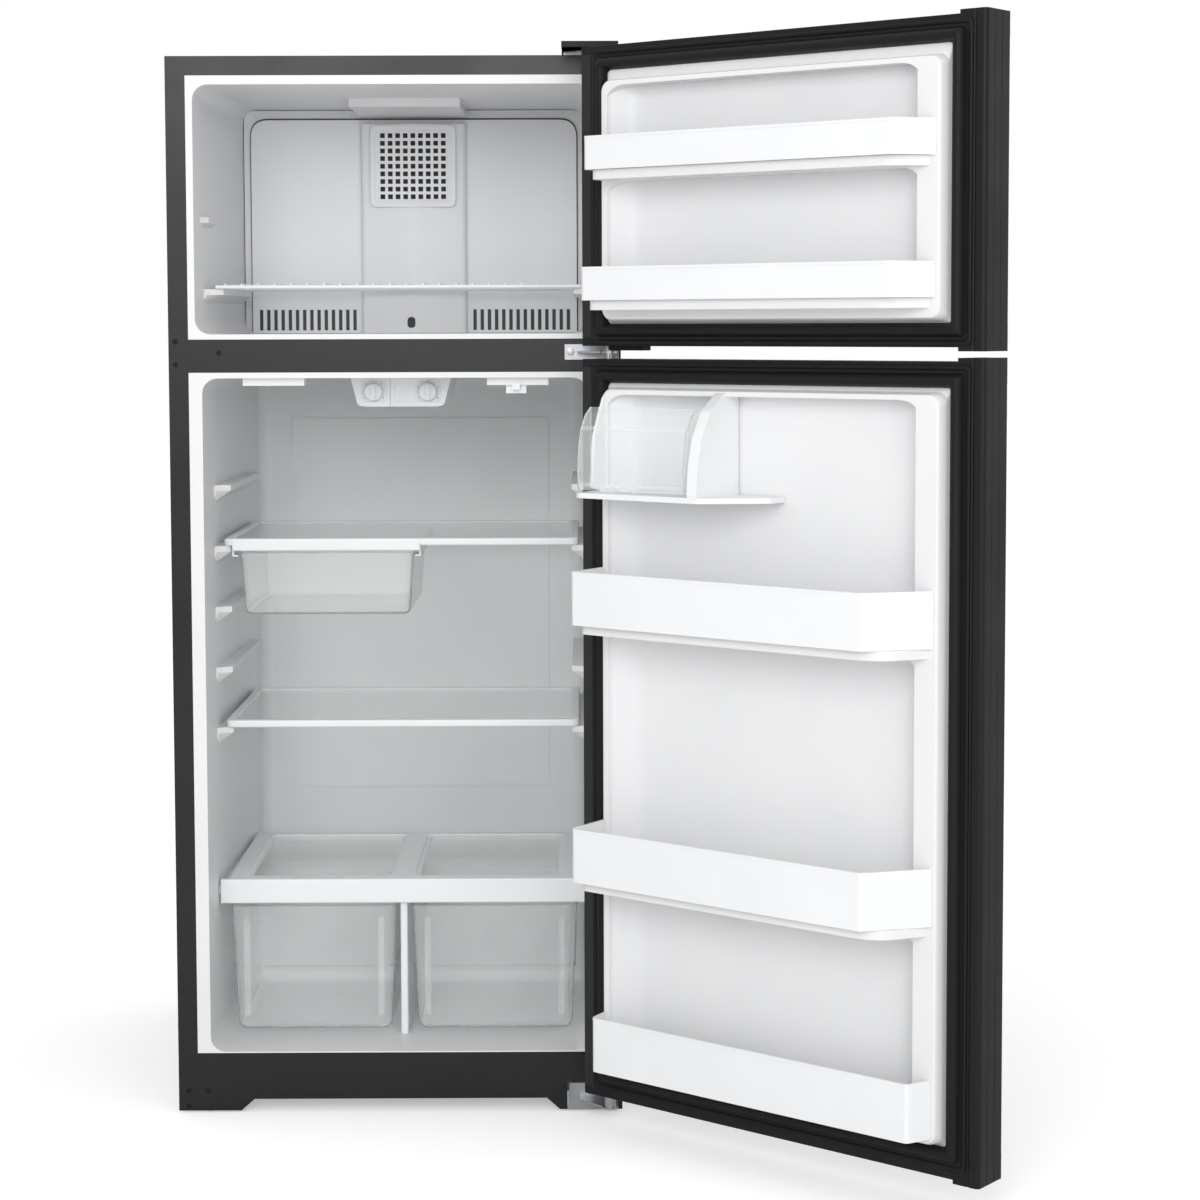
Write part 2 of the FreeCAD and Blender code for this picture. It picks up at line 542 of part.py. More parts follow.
def make_door(name, low, high, seal_low, seal_high, ceiling, shelves, blocks):
    """Skin, foam, liner, gasket, trim, end caps and hinge bushings of one door."""
    sheet = SHEET
    free = CASE_WIDTH - TRIM_WIDTH
    bushing_outer = PIN_RADIUS + PIN_CLEARANCE + BUSHING_WALL
    inner_u = GASKET_INSET + GASKET_WIDTH
    front = dbox(0, free, DOOR_THICK - sheet, DOOR_THICK, low, high)
    side = dbox(0, sheet, 0, DOOR_THICK, low, high)
    rim = dbox(0, inner_u, 0, sheet, low + CAP_HEIGHT, high - CAP_HEIGHT)
    skin = fuse([front, side, rim])
    add(name + "_door_skin", swing(skin))
    caps = [end_cap(low, low + CAP_HEIGHT, bushing_outer), end_cap(high - CAP_HEIGHT, high, bushing_outer)]
    lips = [dbox(inner_u, CASE_WIDTH - inner_u, 0, RIM, low + CAP_HEIGHT, seal_low + GASKET_WIDTH),
            dbox(inner_u, CASE_WIDTH - inner_u, 0, RIM, seal_high - GASKET_WIDTH, high - CAP_HEIGHT)]
    ends = [fuse([cap, lip]) for cap, lip in zip(caps, lips)]
    trim = handle_trim(low, high)
    add(name + "_door_handle_trim", swing(trim))

    inside_low = seal_low + GASKET_WIDTH
    inside_high = seal_high - GASKET_WIDTH
    dike_low = inside_low + DIKE_SET
    dike_high = min(inside_high - DIKE_SET, ceiling - DIKE_CLEAR)
    cores = door_blocks(dike_low, dike_high, shelves, 0)
    grown = door_blocks(dike_low, dike_high, shelves, DOOR_LINER_WALL)
    slab = dbox(sheet, free, RECESS + DOOR_LINER_WALL, DOOR_THICK - sheet, low + CAP_HEIGHT, high - CAP_HEIGHT)
    pins = Part.makeCompound([rod(PIVOT_X, PIVOT_Y, low, bushing_outer, BUSHING_LONG + 4),
                              rod(PIVOT_X, PIVOT_Y, high - BUSHING_LONG - 4, bushing_outer, BUSHING_LONG + 4)])
    border = [dbox(sheet, inner_u, sheet, RECESS + DOOR_LINER_WALL, low + CAP_HEIGHT, high - CAP_HEIGHT)]
    border.append(dbox(CASE_WIDTH - inner_u, free, RIM, RECESS + DOOR_LINER_WALL, low + CAP_HEIGHT, high - CAP_HEIGHT))
    border.append(dbox(inner_u, CASE_WIDTH - inner_u, RIM, RECESS + DOOR_LINER_WALL, low + CAP_HEIGHT, inside_low))
    border.append(dbox(inner_u, CASE_WIDTH - inner_u, RIM, RECESS + DOOR_LINER_WALL, inside_high, high - CAP_HEIGHT))
    plate = dbox(inner_u, CASE_WIDTH - inner_u, RECESS, RECESS + DOOR_LINER_WALL, inside_low, inside_high)
    edge = dbox(inner_u, CASE_WIDTH - inner_u, 0, RECESS + DOOR_LINER_WALL, inside_low, inside_high)
    dike = fuse(grown)
    hollow = dbox(inner_u + DIKE_SET, CASE_WIDTH - inner_u - DIKE_SET, -1, RECESS, dike_low, dike_high)
    ring = edge.cut(hollow)
    liner = fuse([dike, ring, plate]).cut(Part.makeCompound(cores))
    add(name + "_door_liner", swing(liner))
    foam = [piece for block in [slab] + border for piece in block.cut(pins).Solids]
    foam += cores
    add(name + "_door_foam", *[swing(piece) for piece in foam])
    add(name + "_door_gasket", *[swing(strip) for strip in gasket(seal_low, seal_high)])
    for z in (low, high - BUSHING_LONG):
        sleeve = rod(PIVOT_X, PIVOT_Y, z, bushing_outer, BUSHING_LONG)
        ends.append(sleeve.cut(rod(PIVOT_X, PIVOT_Y, z - 1, PIN_RADIUS + PIN_CLEARANCE, BUSHING_LONG + 2)))
    add(name + "_door_end_caps", *[swing(piece) for piece in ends + blocks])


def gasket(low, high):
    """Four mitred strips of magnetic gasket around a door's inner rim."""
    tall = DOOR_GAP - SEAL_GAP
    left, right = HALF - GASKET_INSET, -HALF + GASKET_INSET
    strips = []
    profile = [(0, 0), (GASKET_WIDTH, 0), (GASKET_WIDTH, GASKET_BASE), (GASKET_WIDTH - 7, tall - 3),
               (GASKET_WIDTH - 10, tall), (9, tall), (6, tall - 3), (0, GASKET_BASE)]
    corners = [(right, low), (left, low), (left, high), (right, high)]
    inwards = [(1, 1), (-1, 1), (-1, -1), (1, -1)]
    for k in range(4):
        ends = []
        for index in (k, (k + 1) % 4):
            (x, z), (dx, dz) = corners[index], inwards[index]
            points = [V(x + dx * a, -DOOR_GAP + n, z + dz * a) for a, n in profile]
            ends.append(Part.makePolygon(points + [points[0]]))
        strips.append(Part.makeLoft(ends, True, True))
    return strips


def retainer(low, high, u0, u1, land, reach, wall, foot):
    """A door bar: a front wall, a short end at the hinge side and a slanting end at the free side."""
    root = wall * BAR_ROOT
    outer = [(u0, -land), (u0 + BAR_NEAR, -reach), (u1 - foot, -reach), (u1, -land)]
    inner = [(u1 - root, -land), (u1 - foot - wall, -reach + wall),
             (u0 + BAR_NEAR + wall, -reach + wall), (u0 + root, -land)]
    points = [(HALF - u, -DOOR_GAP - n) for u, n in outer + inner]
    return plan(points, low, high)


def make_door_fittings():
    """Bars and bins of the doors, and the dairy compartment with its lid."""
    u0 = BAR_START
    u1 = CASE_WIDTH - u0
    for name, bars in (("freezer_door_bars", FREEZER_BARS), ("fresh_food_door_bars", FRESH_BARS)):
        add(name, *[swing(retainer(low, high, u0, u1, DIKE_LAND, reach, BAR_WALL, foot))
                    for low, high, reach, foot in bars])
    low, high = DAIRY_LOW, DAIRY_HIGH
    left, right = DAIRY_LEFT, DAIRY_RIGHT
    deep, shut = -RECESS + SHELF_GAP, DAIRY_REACH
    body = dbox(left, right, -shut, -deep, low, high)
    room = dbox(left + BAR_WALL, right - BAR_WALL, -shut - 1, -deep - BAR_WALL, low + BAR_WALL, high - BAR_WALL)
    add("dairy_box", swing(body.cut(room)))
    lid = dbox(LID_LEFT, right - 1, -shut - LID_OUT, -shut - SHELF_GAP, low + 2, high - 2)
    hollow = dbox(LID_LEFT + LID_WALL, right - 1 - LID_WALL, -shut - LID_OUT + LID_WALL, -shut,
                  low + 2 + LID_WALL, high - 2 - LID_WALL)
    add("dairy_lid", swing(lid.cut(hollow)))


# ---------------------------------------------------------------- hinges
def make_hinges():
    """Three hinge brackets with their pins, the top hinge's cover, screws and plugs."""
    left, right = HINGE_LEFT, PIVOT_X + 13
    nose = 13.0

    def arm(z):
        plate = box(ARM_LEFT, right, PIVOT_Y, 0, z, z + HINGE_PLATE)
        slant = plan([(ARM_LEFT, PIVOT_Y - 1), (ARM_LEFT, -22), (PIVOT_X - nose, PIVOT_Y), (PIVOT_X - nose, PIVOT_Y - 1)],
                     z - 1, z + HINGE_PLATE + 1)
        tip = rod(PIVOT_X, PIVOT_Y, z, nose, HINGE_PLATE)
        return fuse([plate.cut(slant), tip])

    top_z = FREEZER_DOOR_HIGH + 1.0
    foot = box(left, right, 0, 60, CASE_TOP, CASE_TOP + HINGE_PLATE)
    rise = box(left, right, 0, HINGE_PLATE, CASE_TOP, top_z + HINGE_PLATE)
    pin = rod(PIVOT_X, PIVOT_Y, FREEZER_DOOR_HIGH - 18, PIN_RADIUS, top_z - FREEZER_DOOR_HIGH + 18)
    bores = [rod(x, y, CASE_TOP - 1, SCREW_HOLE, HINGE_PLATE + 2) for x, y in TOP_HINGE_SPOTS]
    brackets = [fuse([foot, rise, arm(top_z), pin]).cut(Part.makeCompound(bores))]

    mid = CENTRE_HINGE_Z - HINGE_PLATE / 2
    strip = box(left, right, -HINGE_PLATE, 0, CENTRE_HINGE_Z - 12, CENTRE_HINGE_Z + 12)
    ear = box(HALF - GASKET_INSET + 2, HALF - 3, -HINGE_PLATE, 0, CENTRE_HINGE_Z - 26, CENTRE_HINGE_Z + 26)
    pin_low = rod(PIVOT_X, PIVOT_Y, FRESH_DOOR_HIGH - 18, PIN_RADIUS, mid - FRESH_DOOR_HIGH + 18)
    pin_high = rod(PIVOT_X, PIVOT_Y, mid, PIN_RADIUS, FREEZER_DOOR_LOW - mid + 18)
    bracket = fuse([strip, ear, arm(mid), pin_low, pin_high])
    brackets.append(bracket.cut(front_holes(CENTRE_SPOTS).translated(V(0, -HINGE_PLATE - 1, 0))))

    base = BOTTOM_HINGE_Z - HINGE_PLATE
    flange = box(left, right, -HINGE_PLATE, 0, 3, BOTTOM_FLANGE_TOP)
    rib = box(left, left + HINGE_PLATE, -44, 0, base, BOTTOM_FLANGE_TOP)
    pin = rod(PIVOT_X, PIVOT_Y, base, PIN_RADIUS, FRESH_DOOR_LOW + 18 - base)
    collar = rod(PIVOT_X, PIVOT_Y, BOTTOM_HINGE_Z, PIN_RADIUS + 4, FRESH_DOOR_LOW - BOTTOM_HINGE_Z - SHELF_GAP)
    bracket = fuse([flange, rib, arm(base), pin, collar])
    brackets.append(bracket.cut(front_holes(BOTTOM_SPOTS).translated(V(0, -HINGE_PLATE - 1, 0))))
    add("hinges", *brackets)

    down, inward = V(0, 0, -1), V(0, 1, 0)
    screws = [screw(x, y, CASE_TOP + HINGE_PLATE, down) for x, y in TOP_HINGE_SPOTS]
    screws += [screw(x, -HINGE_PLATE, z, inward) for x, z in CENTRE_SPOTS + BOTTOM_SPOTS]
    for x, z in REVERSE_FRONT + REVERSE_BASE:
        stem = rod(x, 0, z, SCREW_RADIUS, 4, inward)
        screws.append(fuse([rod(x, -1.2, z, PLUG_RADIUS, 1.2, inward), stem]))
    add("hinge_screws_and_plugs", *screws)

    cover_top = top_z + HINGE_PLATE + 6
    x0, x1, y0, y1 = left - 3, right + 3.5, PIVOT_Y - nose - 3, 63
    wall = 2.0
    shell = box(x0, x1, y0, 0, FREEZER_DOOR_HIGH + 0.5, cover_top).fuse(box(x0, x1, 0, y1, CASE_TOP, cover_top))
    shell = shell.removeSplitter()
    room = box(x0 + wall, x1 - wall, y0 + wall, y1 - wall, CASE_TOP - 1, cover_top - wall)
    add("top_hinge_cover", shell.cut(room))


# ---------------------------------------------------------------- shelves and drawers
def glass_shelf(name, top):
    """A framed glass shelf on the liner's ledges."""
    low = top - SHELF_THICK
    frame = box(-SHELF_HALF, SHELF_HALF, SHELF_FRONT, SHELF_BACK, low, top)
    hole = box(-SHELF_HALF + SHELF_RIM, SHELF_HALF - SHELF_RIM, SHELF_FRONT + SHELF_RIM, SHELF_BACK - SHELF_RIM,
               low - 1, top + 1)
    seat = box(-SHELF_HALF + SHELF_RIM - 5, SHELF_HALF - SHELF_RIM + 5, SHELF_FRONT + SHELF_RIM - 5,
               SHELF_BACK - SHELF_RIM + 5, top - 2 - GLASS, top - 2)
    add(name + "_frame", frame.cut(hole).cut(seat))
    add(name + "_glass", seat)


def make_shelves():
    """Two glass shelves, the snack pan and its rails, and the freezer's wire shelf."""
    glass_shelf("lower_shelf", LOWER_SHELF)
    glass_shelf("upper_shelf", UPPER_SHELF)
    under = UPPER_SHELF - SHELF_THICK
    lip_z = PAN_HIGH - PAN_WALL
    rails = []
    back = SHELF_FRONT + PAN_DEPTH
    for edge, side in ((PAN_LEFT, -1), (PAN_RIGHT, 1)):
        web_in = edge + side * (PAN_LIP + 1)
        web_out = web_in + side * RAIL_SHEET
        toe_in = edge + side * 2
        x0, x1 = sorted((web_in, web_out))
        t0, t1 = sorted((toe_in, web_out))
        web = box(x0, x1, SHELF_FRONT + 4, back, lip_z - SHELF_GAP - RAIL_SHEET, under)
        toe = box(t0, t1, SHELF_FRONT + 4, back, lip_z - SHELF_GAP - RAIL_SHEET, lip_z - SHELF_GAP)
        rails.append(fuse([web, toe]))
    tie = box(PAN_LEFT - PAN_LIP - 1, PAN_RIGHT + PAN_LIP + 1, back - 14, back, under - RAIL_SHEET, under)
    add("snack_pan_rails", fuse(rails + [tie]))
    pan = box(PAN_LEFT, PAN_RIGHT, SHELF_FRONT + 6, SHELF_FRONT + PAN_DEPTH - 20, PAN_LOW, PAN_HIGH)
    room = box(PAN_LEFT + PAN_WALL, PAN_RIGHT - PAN_WALL, SHELF_FRONT + 6 + PAN_WALL,
               SHELF_FRONT + PAN_DEPTH - 20 - PAN_WALL, PAN_LOW + PAN_WALL, PAN_HIGH + 1)
    lips = box(PAN_LEFT - PAN_LIP, PAN_RIGHT + PAN_LIP, SHELF_FRONT + 6, SHELF_FRONT + PAN_DEPTH - 20, lip_z, PAN_HIGH)
    add("snack_pan", pan.fuse(lips).removeSplitter().cut(room))

    z = FREEZER_SHELF
    rods = [rod(-WIRE_HALF, y, WIRE_ROD_LOW + WIRE_THICK, WIRE_THICK, 2 * WIRE_HALF, V(1, 0, 0))
            for y in (WIRE_FRONT + WIRE_THICK, (WIRE_FRONT + WIRE_BACK) / 2, WIRE_BACK - WIRE_THICK)]
    span = 2 * WIRE_HALF - 30
    wires = [rod(-WIRE_HALF + 15 + span * k / (WIRE_COUNT - 1), WIRE_FRONT + 1, z - WIRE_THIN, WIRE_THIN,
                 WIRE_BACK - WIRE_FRONT - 2, V(0, 1, 0)) for k in range(WIRE_COUNT)]
    add("freezer_shelf", fuse(rods + wires))


def crisper(side):
    """One clear drawer on its two floor runners."""
    inner = DIVIDER_HALF + DIVIDER_GAP
    x0, x1 = sorted((side * inner, side * CRISPER_HALF_OUT))
    y0, y1 = CRISPER_FRONT, CRISPER_FRONT + CRISPER_DEPTH
    z0, z1 = CRISPER_LOW, CRISPER_LOW + CRISPER_TALL
    shell = box(x0, x1, y0, y1, z0, z1)
    wall = CRISPER_WALL
    room = box(x0 + wall, x1 - wall, y0 + wall, y1 - wall, z0 + wall, z1 + 1)
    edges = [e for e in shell.Edges if e.BoundBox.ZLength > 100]
    shell = shell.makeFillet(12, edges)
    edges = [e for e in room.Edges if e.BoundBox.ZLength > 100]
    return shell.cut(room.makeFillet(12 - wall, edges))


def make_crispers():
    """Crisper cover with its glass and fascia, the divider and the two drawers."""
    low = COVER_TOP - COVER_PLATE
    y0 = COVER_FRONT + FASCIA_THICK
    frame = box(-COVER_HALF, COVER_HALF, y0, COVER_BACK, low, COVER_TOP)
    seats = []
    for side in (-1, 1):
        x0, x1 = sorted((side * 22.0, side * (COVER_HALF - 34.0)))
        hole = box(x0, x1, y0 + 24, COVER_BACK - 26, low - 1, COVER_TOP + 1)
        seat = box(x0 - 5, x1 + 5, y0 + 19, COVER_BACK - 21, COVER_TOP - 2 - GLASS, COVER_TOP - 2)
        frame = frame.cut(hole)
        seats.append(seat)
    frame = frame.cut(Part.makeCompound(seats))
    add("crisper_cover_glass", *seats)
    wide = half_at(FRESH_HALF_FRONT, FRESH_HALF_BACK, COVER_FRONT + FASCIA_THICK) - 4
    fascia = box(-wide, wide, COVER_FRONT, y0, COVER_TOP - FASCIA_HEIGHT, COVER_TOP)
    divider = box(-DIVIDER_HALF, DIVIDER_HALF, y0 + 1, STEP_Y - 8, FRESH_FLOOR, low)
    add("crisper_cover_frame", frame, fascia, divider)
    add("crisper_left", crisper(-1))
    add("crisper_right", crisper(1))


# ---------------------------------------------------------------- freezer air system
def make_evaporator():
    """Evaporator cover, grille, fan, coil and heater at the back of the freezer."""
    front = COVER_PANEL_Y
    floor = FREEZER_FLOOR + SHELF_GAP
    panel = box(-COVER_PANEL_HALF, COVER_PANEL_HALF, front, front + COVER_PANEL_WALL, floor, COVER_PANEL_TOP)
    column = box(-COLUMN_HALF, COLUMN_HALF, front - COLUMN_OUT, front + COVER_PANEL_WALL, floor, COVER_PANEL_TOP)
    room = box(-COLUMN_HALF + COVER_PANEL_WALL, COLUMN_HALF - COVER_PANEL_WALL, front - COLUMN_OUT + COVER_PANEL_WALL,
               front + COVER_PANEL_WALL + 1, floor - 1, COVER_PANEL_TOP - COVER_PANEL_WALL)
    window = box(-GRILLE_HALF, GRILLE_HALF, front - COLUMN_OUT - 1, front, GRILLE_LOW, GRILLE_HIGH)
    slots = []
    for side in (-1, 1):
        for k in range(SLOT_COUNT):
            x = side * (COLUMN_HALF + 14 + k * SLOT_PITCH)
            slots.append(box(x - SLOT_WIDTH / 2, x + SLOT_WIDTH / 2, front - 1, front + 3, SLOT_LOW, SLOT_HIGH))
    hang = box(-COVER_PANEL_HALF, COVER_PANEL_HALF, front, INSIDE_DEPTH, COVER_PANEL_TOP - COVER_PANEL_WALL, COVER_PANEL_TOP)
    cover = fuse([panel.fuse(column).removeSplitter().cut(room), hang]).cut(window)
    add("evaporator_cover", cover.cut(Part.makeCompound(slots)))

    y0 = front - COLUMN_OUT
    plate = box(-GRILLE_HALF + 0.5, GRILLE_HALF - 0.5, y0 - 1, y0 + COVER_PANEL_WALL, GRILLE_LOW + 0.5, GRILLE_HIGH - 0.5)
    rim = box(-GRILLE_HALF - 4, GRILLE_HALF + 4, y0 - 2.5, y0, GRILLE_LOW - 4, GRILLE_HIGH + 4)
    middle = (GRILLE_LOW + GRILLE_HIGH) / 2
    first = -(GRILLE_HOLES - 1) / 2 * GRILLE_PITCH
    half = GRILLE_HOLE / 2
    holes = []
    for i in range(GRILLE_HOLES):
        for j in range(GRILLE_HOLES):
            x, z = first + i * GRILLE_PITCH, middle + first + j * GRILLE_PITCH
            holes.append(box(x - half, x + half, y0 - 4, y0 + 4, z - half, z + half))
    add("fan_grille", plate.fuse(rim).removeSplitter().cut(Part.makeCompound(holes)))

    fan_y = front + 10
    add("evaporator_fan_blade", fan_blade(0, fan_y, middle, FAN_RADIUS, V(0, 1, 0), 4))
    motor = rod(0, fan_y + 20, middle, 22, 34, V(0, 1, 0))
    shaft = rod(0, fan_y + 4, middle, FAN_SHAFT, 17, V(0, 1, 0))
    bracket = box(-62, 62, fan_y + 54, INSIDE_DEPTH, middle - 8, middle + 8)
    fan_motor = fuse([motor, shaft, bracket])

    coil_y = front + 50
    pitch, count, half = 30.0, 6, 250.0
    points = [V(-half - 24, coil_y, FREEZER_FLOOR + 45)]
    for k in range(count):
        z = FREEZER_FLOOR + 45 + k * pitch
        ends = (-half, half) if k % 2 == 0 else (half, -half)
        if k:
            points.append(V(ends[0], coil_y, z))
        if k < count - 1:
            points.append(V(ends[1], coil_y, z))
    points.append(V(-half - 24, coil_y, points[-1].z))
    coil = tube_path(points, 14.0, 4.0)
    fins = []
    z0, z1 = FREEZER_FLOOR + 34, FREEZER_FLOOR + 45 + (count - 1) * pitch + 12
    bores = Part.makeCompound([rod(-half, coil_y, FREEZER_FLOOR + 45 + k * pitch, 4.05, 2 * half, V(1, 0, 0))
                               for k in range(count)])
    for k in range(FIN_COUNT):
        x = -half + 30 + (2 * half - 60) * k / (FIN_COUNT - 1)
        fins.append(box(x - 0.5, x + 0.5, coil_y - 30, coil_y + 30, z0, z1).cut(bores))
    shoes = [box(x - 8, x + 8, coil_y + 30, INSIDE_DEPTH, z1 - 30, z1) for x in (-half + 30, half - 30)]
    low = FREEZER_FLOOR + 18
    rail = [V(-half, coil_y - 10, low), V(half, coil_y - 10, low), V(half, coil_y + 14, low), V(-half, coil_y + 14, low)]
    heater = tube_path(rail, 11.0, 3.5)
    feet = [box(x - 6, x + 6, coil_y - 12, coil_y + 16, FREEZER_FLOOR, low - 3.5) for x in (-180, 180)]
    add("evaporator", coil, heater, *(fins + shoes + feet))
    return fan_motor


def fan_blade(x, y, z, radius, axis, count):
    """A hub with flat pitched blades, bored for its motor's shaft; axis points to the motor."""
    hub = Part.makeCylinder(14, 16, V(0, 0, 0), V(0, 0, 1))
    parts = [hub]
    for k in range(count):
        blade = Part.makeBox(radius - 10, 30, 1.6, V(10, -15, -0.8))
        blade.rotate(V(0, 0, 0), V(1, 0, 0), 22)
        blade.translate(V(0, 0, 8))
        blade.rotate(V(0, 0, 0), V(0, 0, 1), 360.0 * k / count)
        parts.append(blade)
    disc = Part.makeCylinder(radius, 30, V(0, 0, -7), V(0, 0, 1))
    fan = fuse(parts).common(disc)
    fan = fan.cut(Part.makeCylinder(FAN_SHAFT + PIN_CLEARANCE, 18, V(0, 0, 3), V(0, 0, 1)))
    fan.Placement = FreeCAD.Placement(V(x, y, z), FreeCAD.Rotation(V(0, 0, 1), axis)).multiply(fan.Placement)
    return fan


# ---------------------------------------------------------------- controls and light
def make_controls():
    """Control housing with two knobs, thermostat, damper, lamp and door switch."""
    y0, y1 = CONTROL_FRONT, CONTROL_FRONT + CONTROL_DEEP
    top, low, wall = FRESH_CEILING, CONTROL_LOW, CONTROL_WALL

    def trough(t, y_front, y_back, floor):
        a, b = CONTROL_HALF_TOP - t, CONTROL_HALF_LOW - t
        points = [V(-a, y_front, top), V(-b, y_front, floor), V(b, y_front, floor), V(a, y_front, top)]
        return prism(points, V(0, y_back - y_front, 0))

    shell = trough(0, y0, y1, low).cut(trough(wall, y0 + wall, y1 - wall, low + wall))
    lamp_hole = box(-50, 50, y0 + 110, y1 - 12, low - 1, low + wall + 1)
    bores = [rod(x, y0 - 1, KNOB_Z, KNOB_SHAFT + PIN_CLEARANCE, wall + 2, V(0, 1, 0)) for x in (-KNOB_X, KNOB_X)]
    add("control_housing", shell.cut(lamp_hole).cut(Part.makeCompound(bores)))
    for name, x in (("freezer_knob", -KNOB_X), ("fresh_food_knob", KNOB_X)):
        cap = rod(x, y0 - SHELF_GAP - KNOB_DEEP, KNOB_Z, KNOB_RADIUS, KNOB_DEEP, V(0, 1, 0))
        grip = box(x - 2.5, x + 2.5, y0 - SHELF_GAP - KNOB_DEEP - 5, y0 - SHELF_GAP - KNOB_DEEP,
                   KNOB_Z - KNOB_RADIUS + 2, KNOB_Z + KNOB_RADIUS - 2)
        stem = rod(x, y0 - 1, KNOB_Z, KNOB_SHAFT, 14, V(0, 1, 0))
        add(name, fuse([cap, grip, stem]))
    inside = y0 + wall
    body = box(KNOB_X - 13, KNOB_X + 13, inside, inside + 34, KNOB_Z - 14, top)
    body = body.cut(rod(KNOB_X, inside - 1, KNOB_Z, KNOB_SHAFT + PIN_CLEARANCE, 14, V(0, 1, 0)))
    units = [body]
    body = box(-KNOB_X - 15, -KNOB_X + 15, inside, inside + 52, KNOB_Z - 14, top)
    body = body.cut(rod(-KNOB_X, inside - 1, KNOB_Z, KNOB_SHAFT + PIN_CLEARANCE, 14, V(0, 1, 0)))
    units.append(body)
    lens = box(-50 + 0.5, 50 - 0.5, y0 + 110.5, y1 - 12.5, low, low + wall)
    units.append(box(-14, 14, y0 + 86, y0 + 104, low + 6, top))
    neck = rod(0, y0 + 104, KNOB_Z, 9, 22, V(0, 1, 0))
    globe = Part.makeSphere(19, V(0, y0 + 138, KNOB_Z))
    add("lamp_bulb_and_lens", fuse([neck, globe]), lens)
    switch = box(SWITCH_X - 16, SWITCH_X + 16, 20, 62, SWITCH_Z - 11, top)
    barrel = box(SWITCH_X - 6 - PIN_CLEARANCE, SWITCH_X + 6 + PIN_CLEARANCE, 19, 50,
                 SWITCH_Z - 5 - PIN_CLEARANCE, SWITCH_Z + 5 + PIN_CLEARANCE)
    units.append(switch.cut(barrel))
    add("control_units", *units)
    reach = -DOOR_GAP + DIKE_HEIGHT + 1.0
    add("door_switch_plunger", box(SWITCH_X - 6, SWITCH_X + 6, reach, 40, SWITCH_Z - 5, SWITCH_Z + 5))


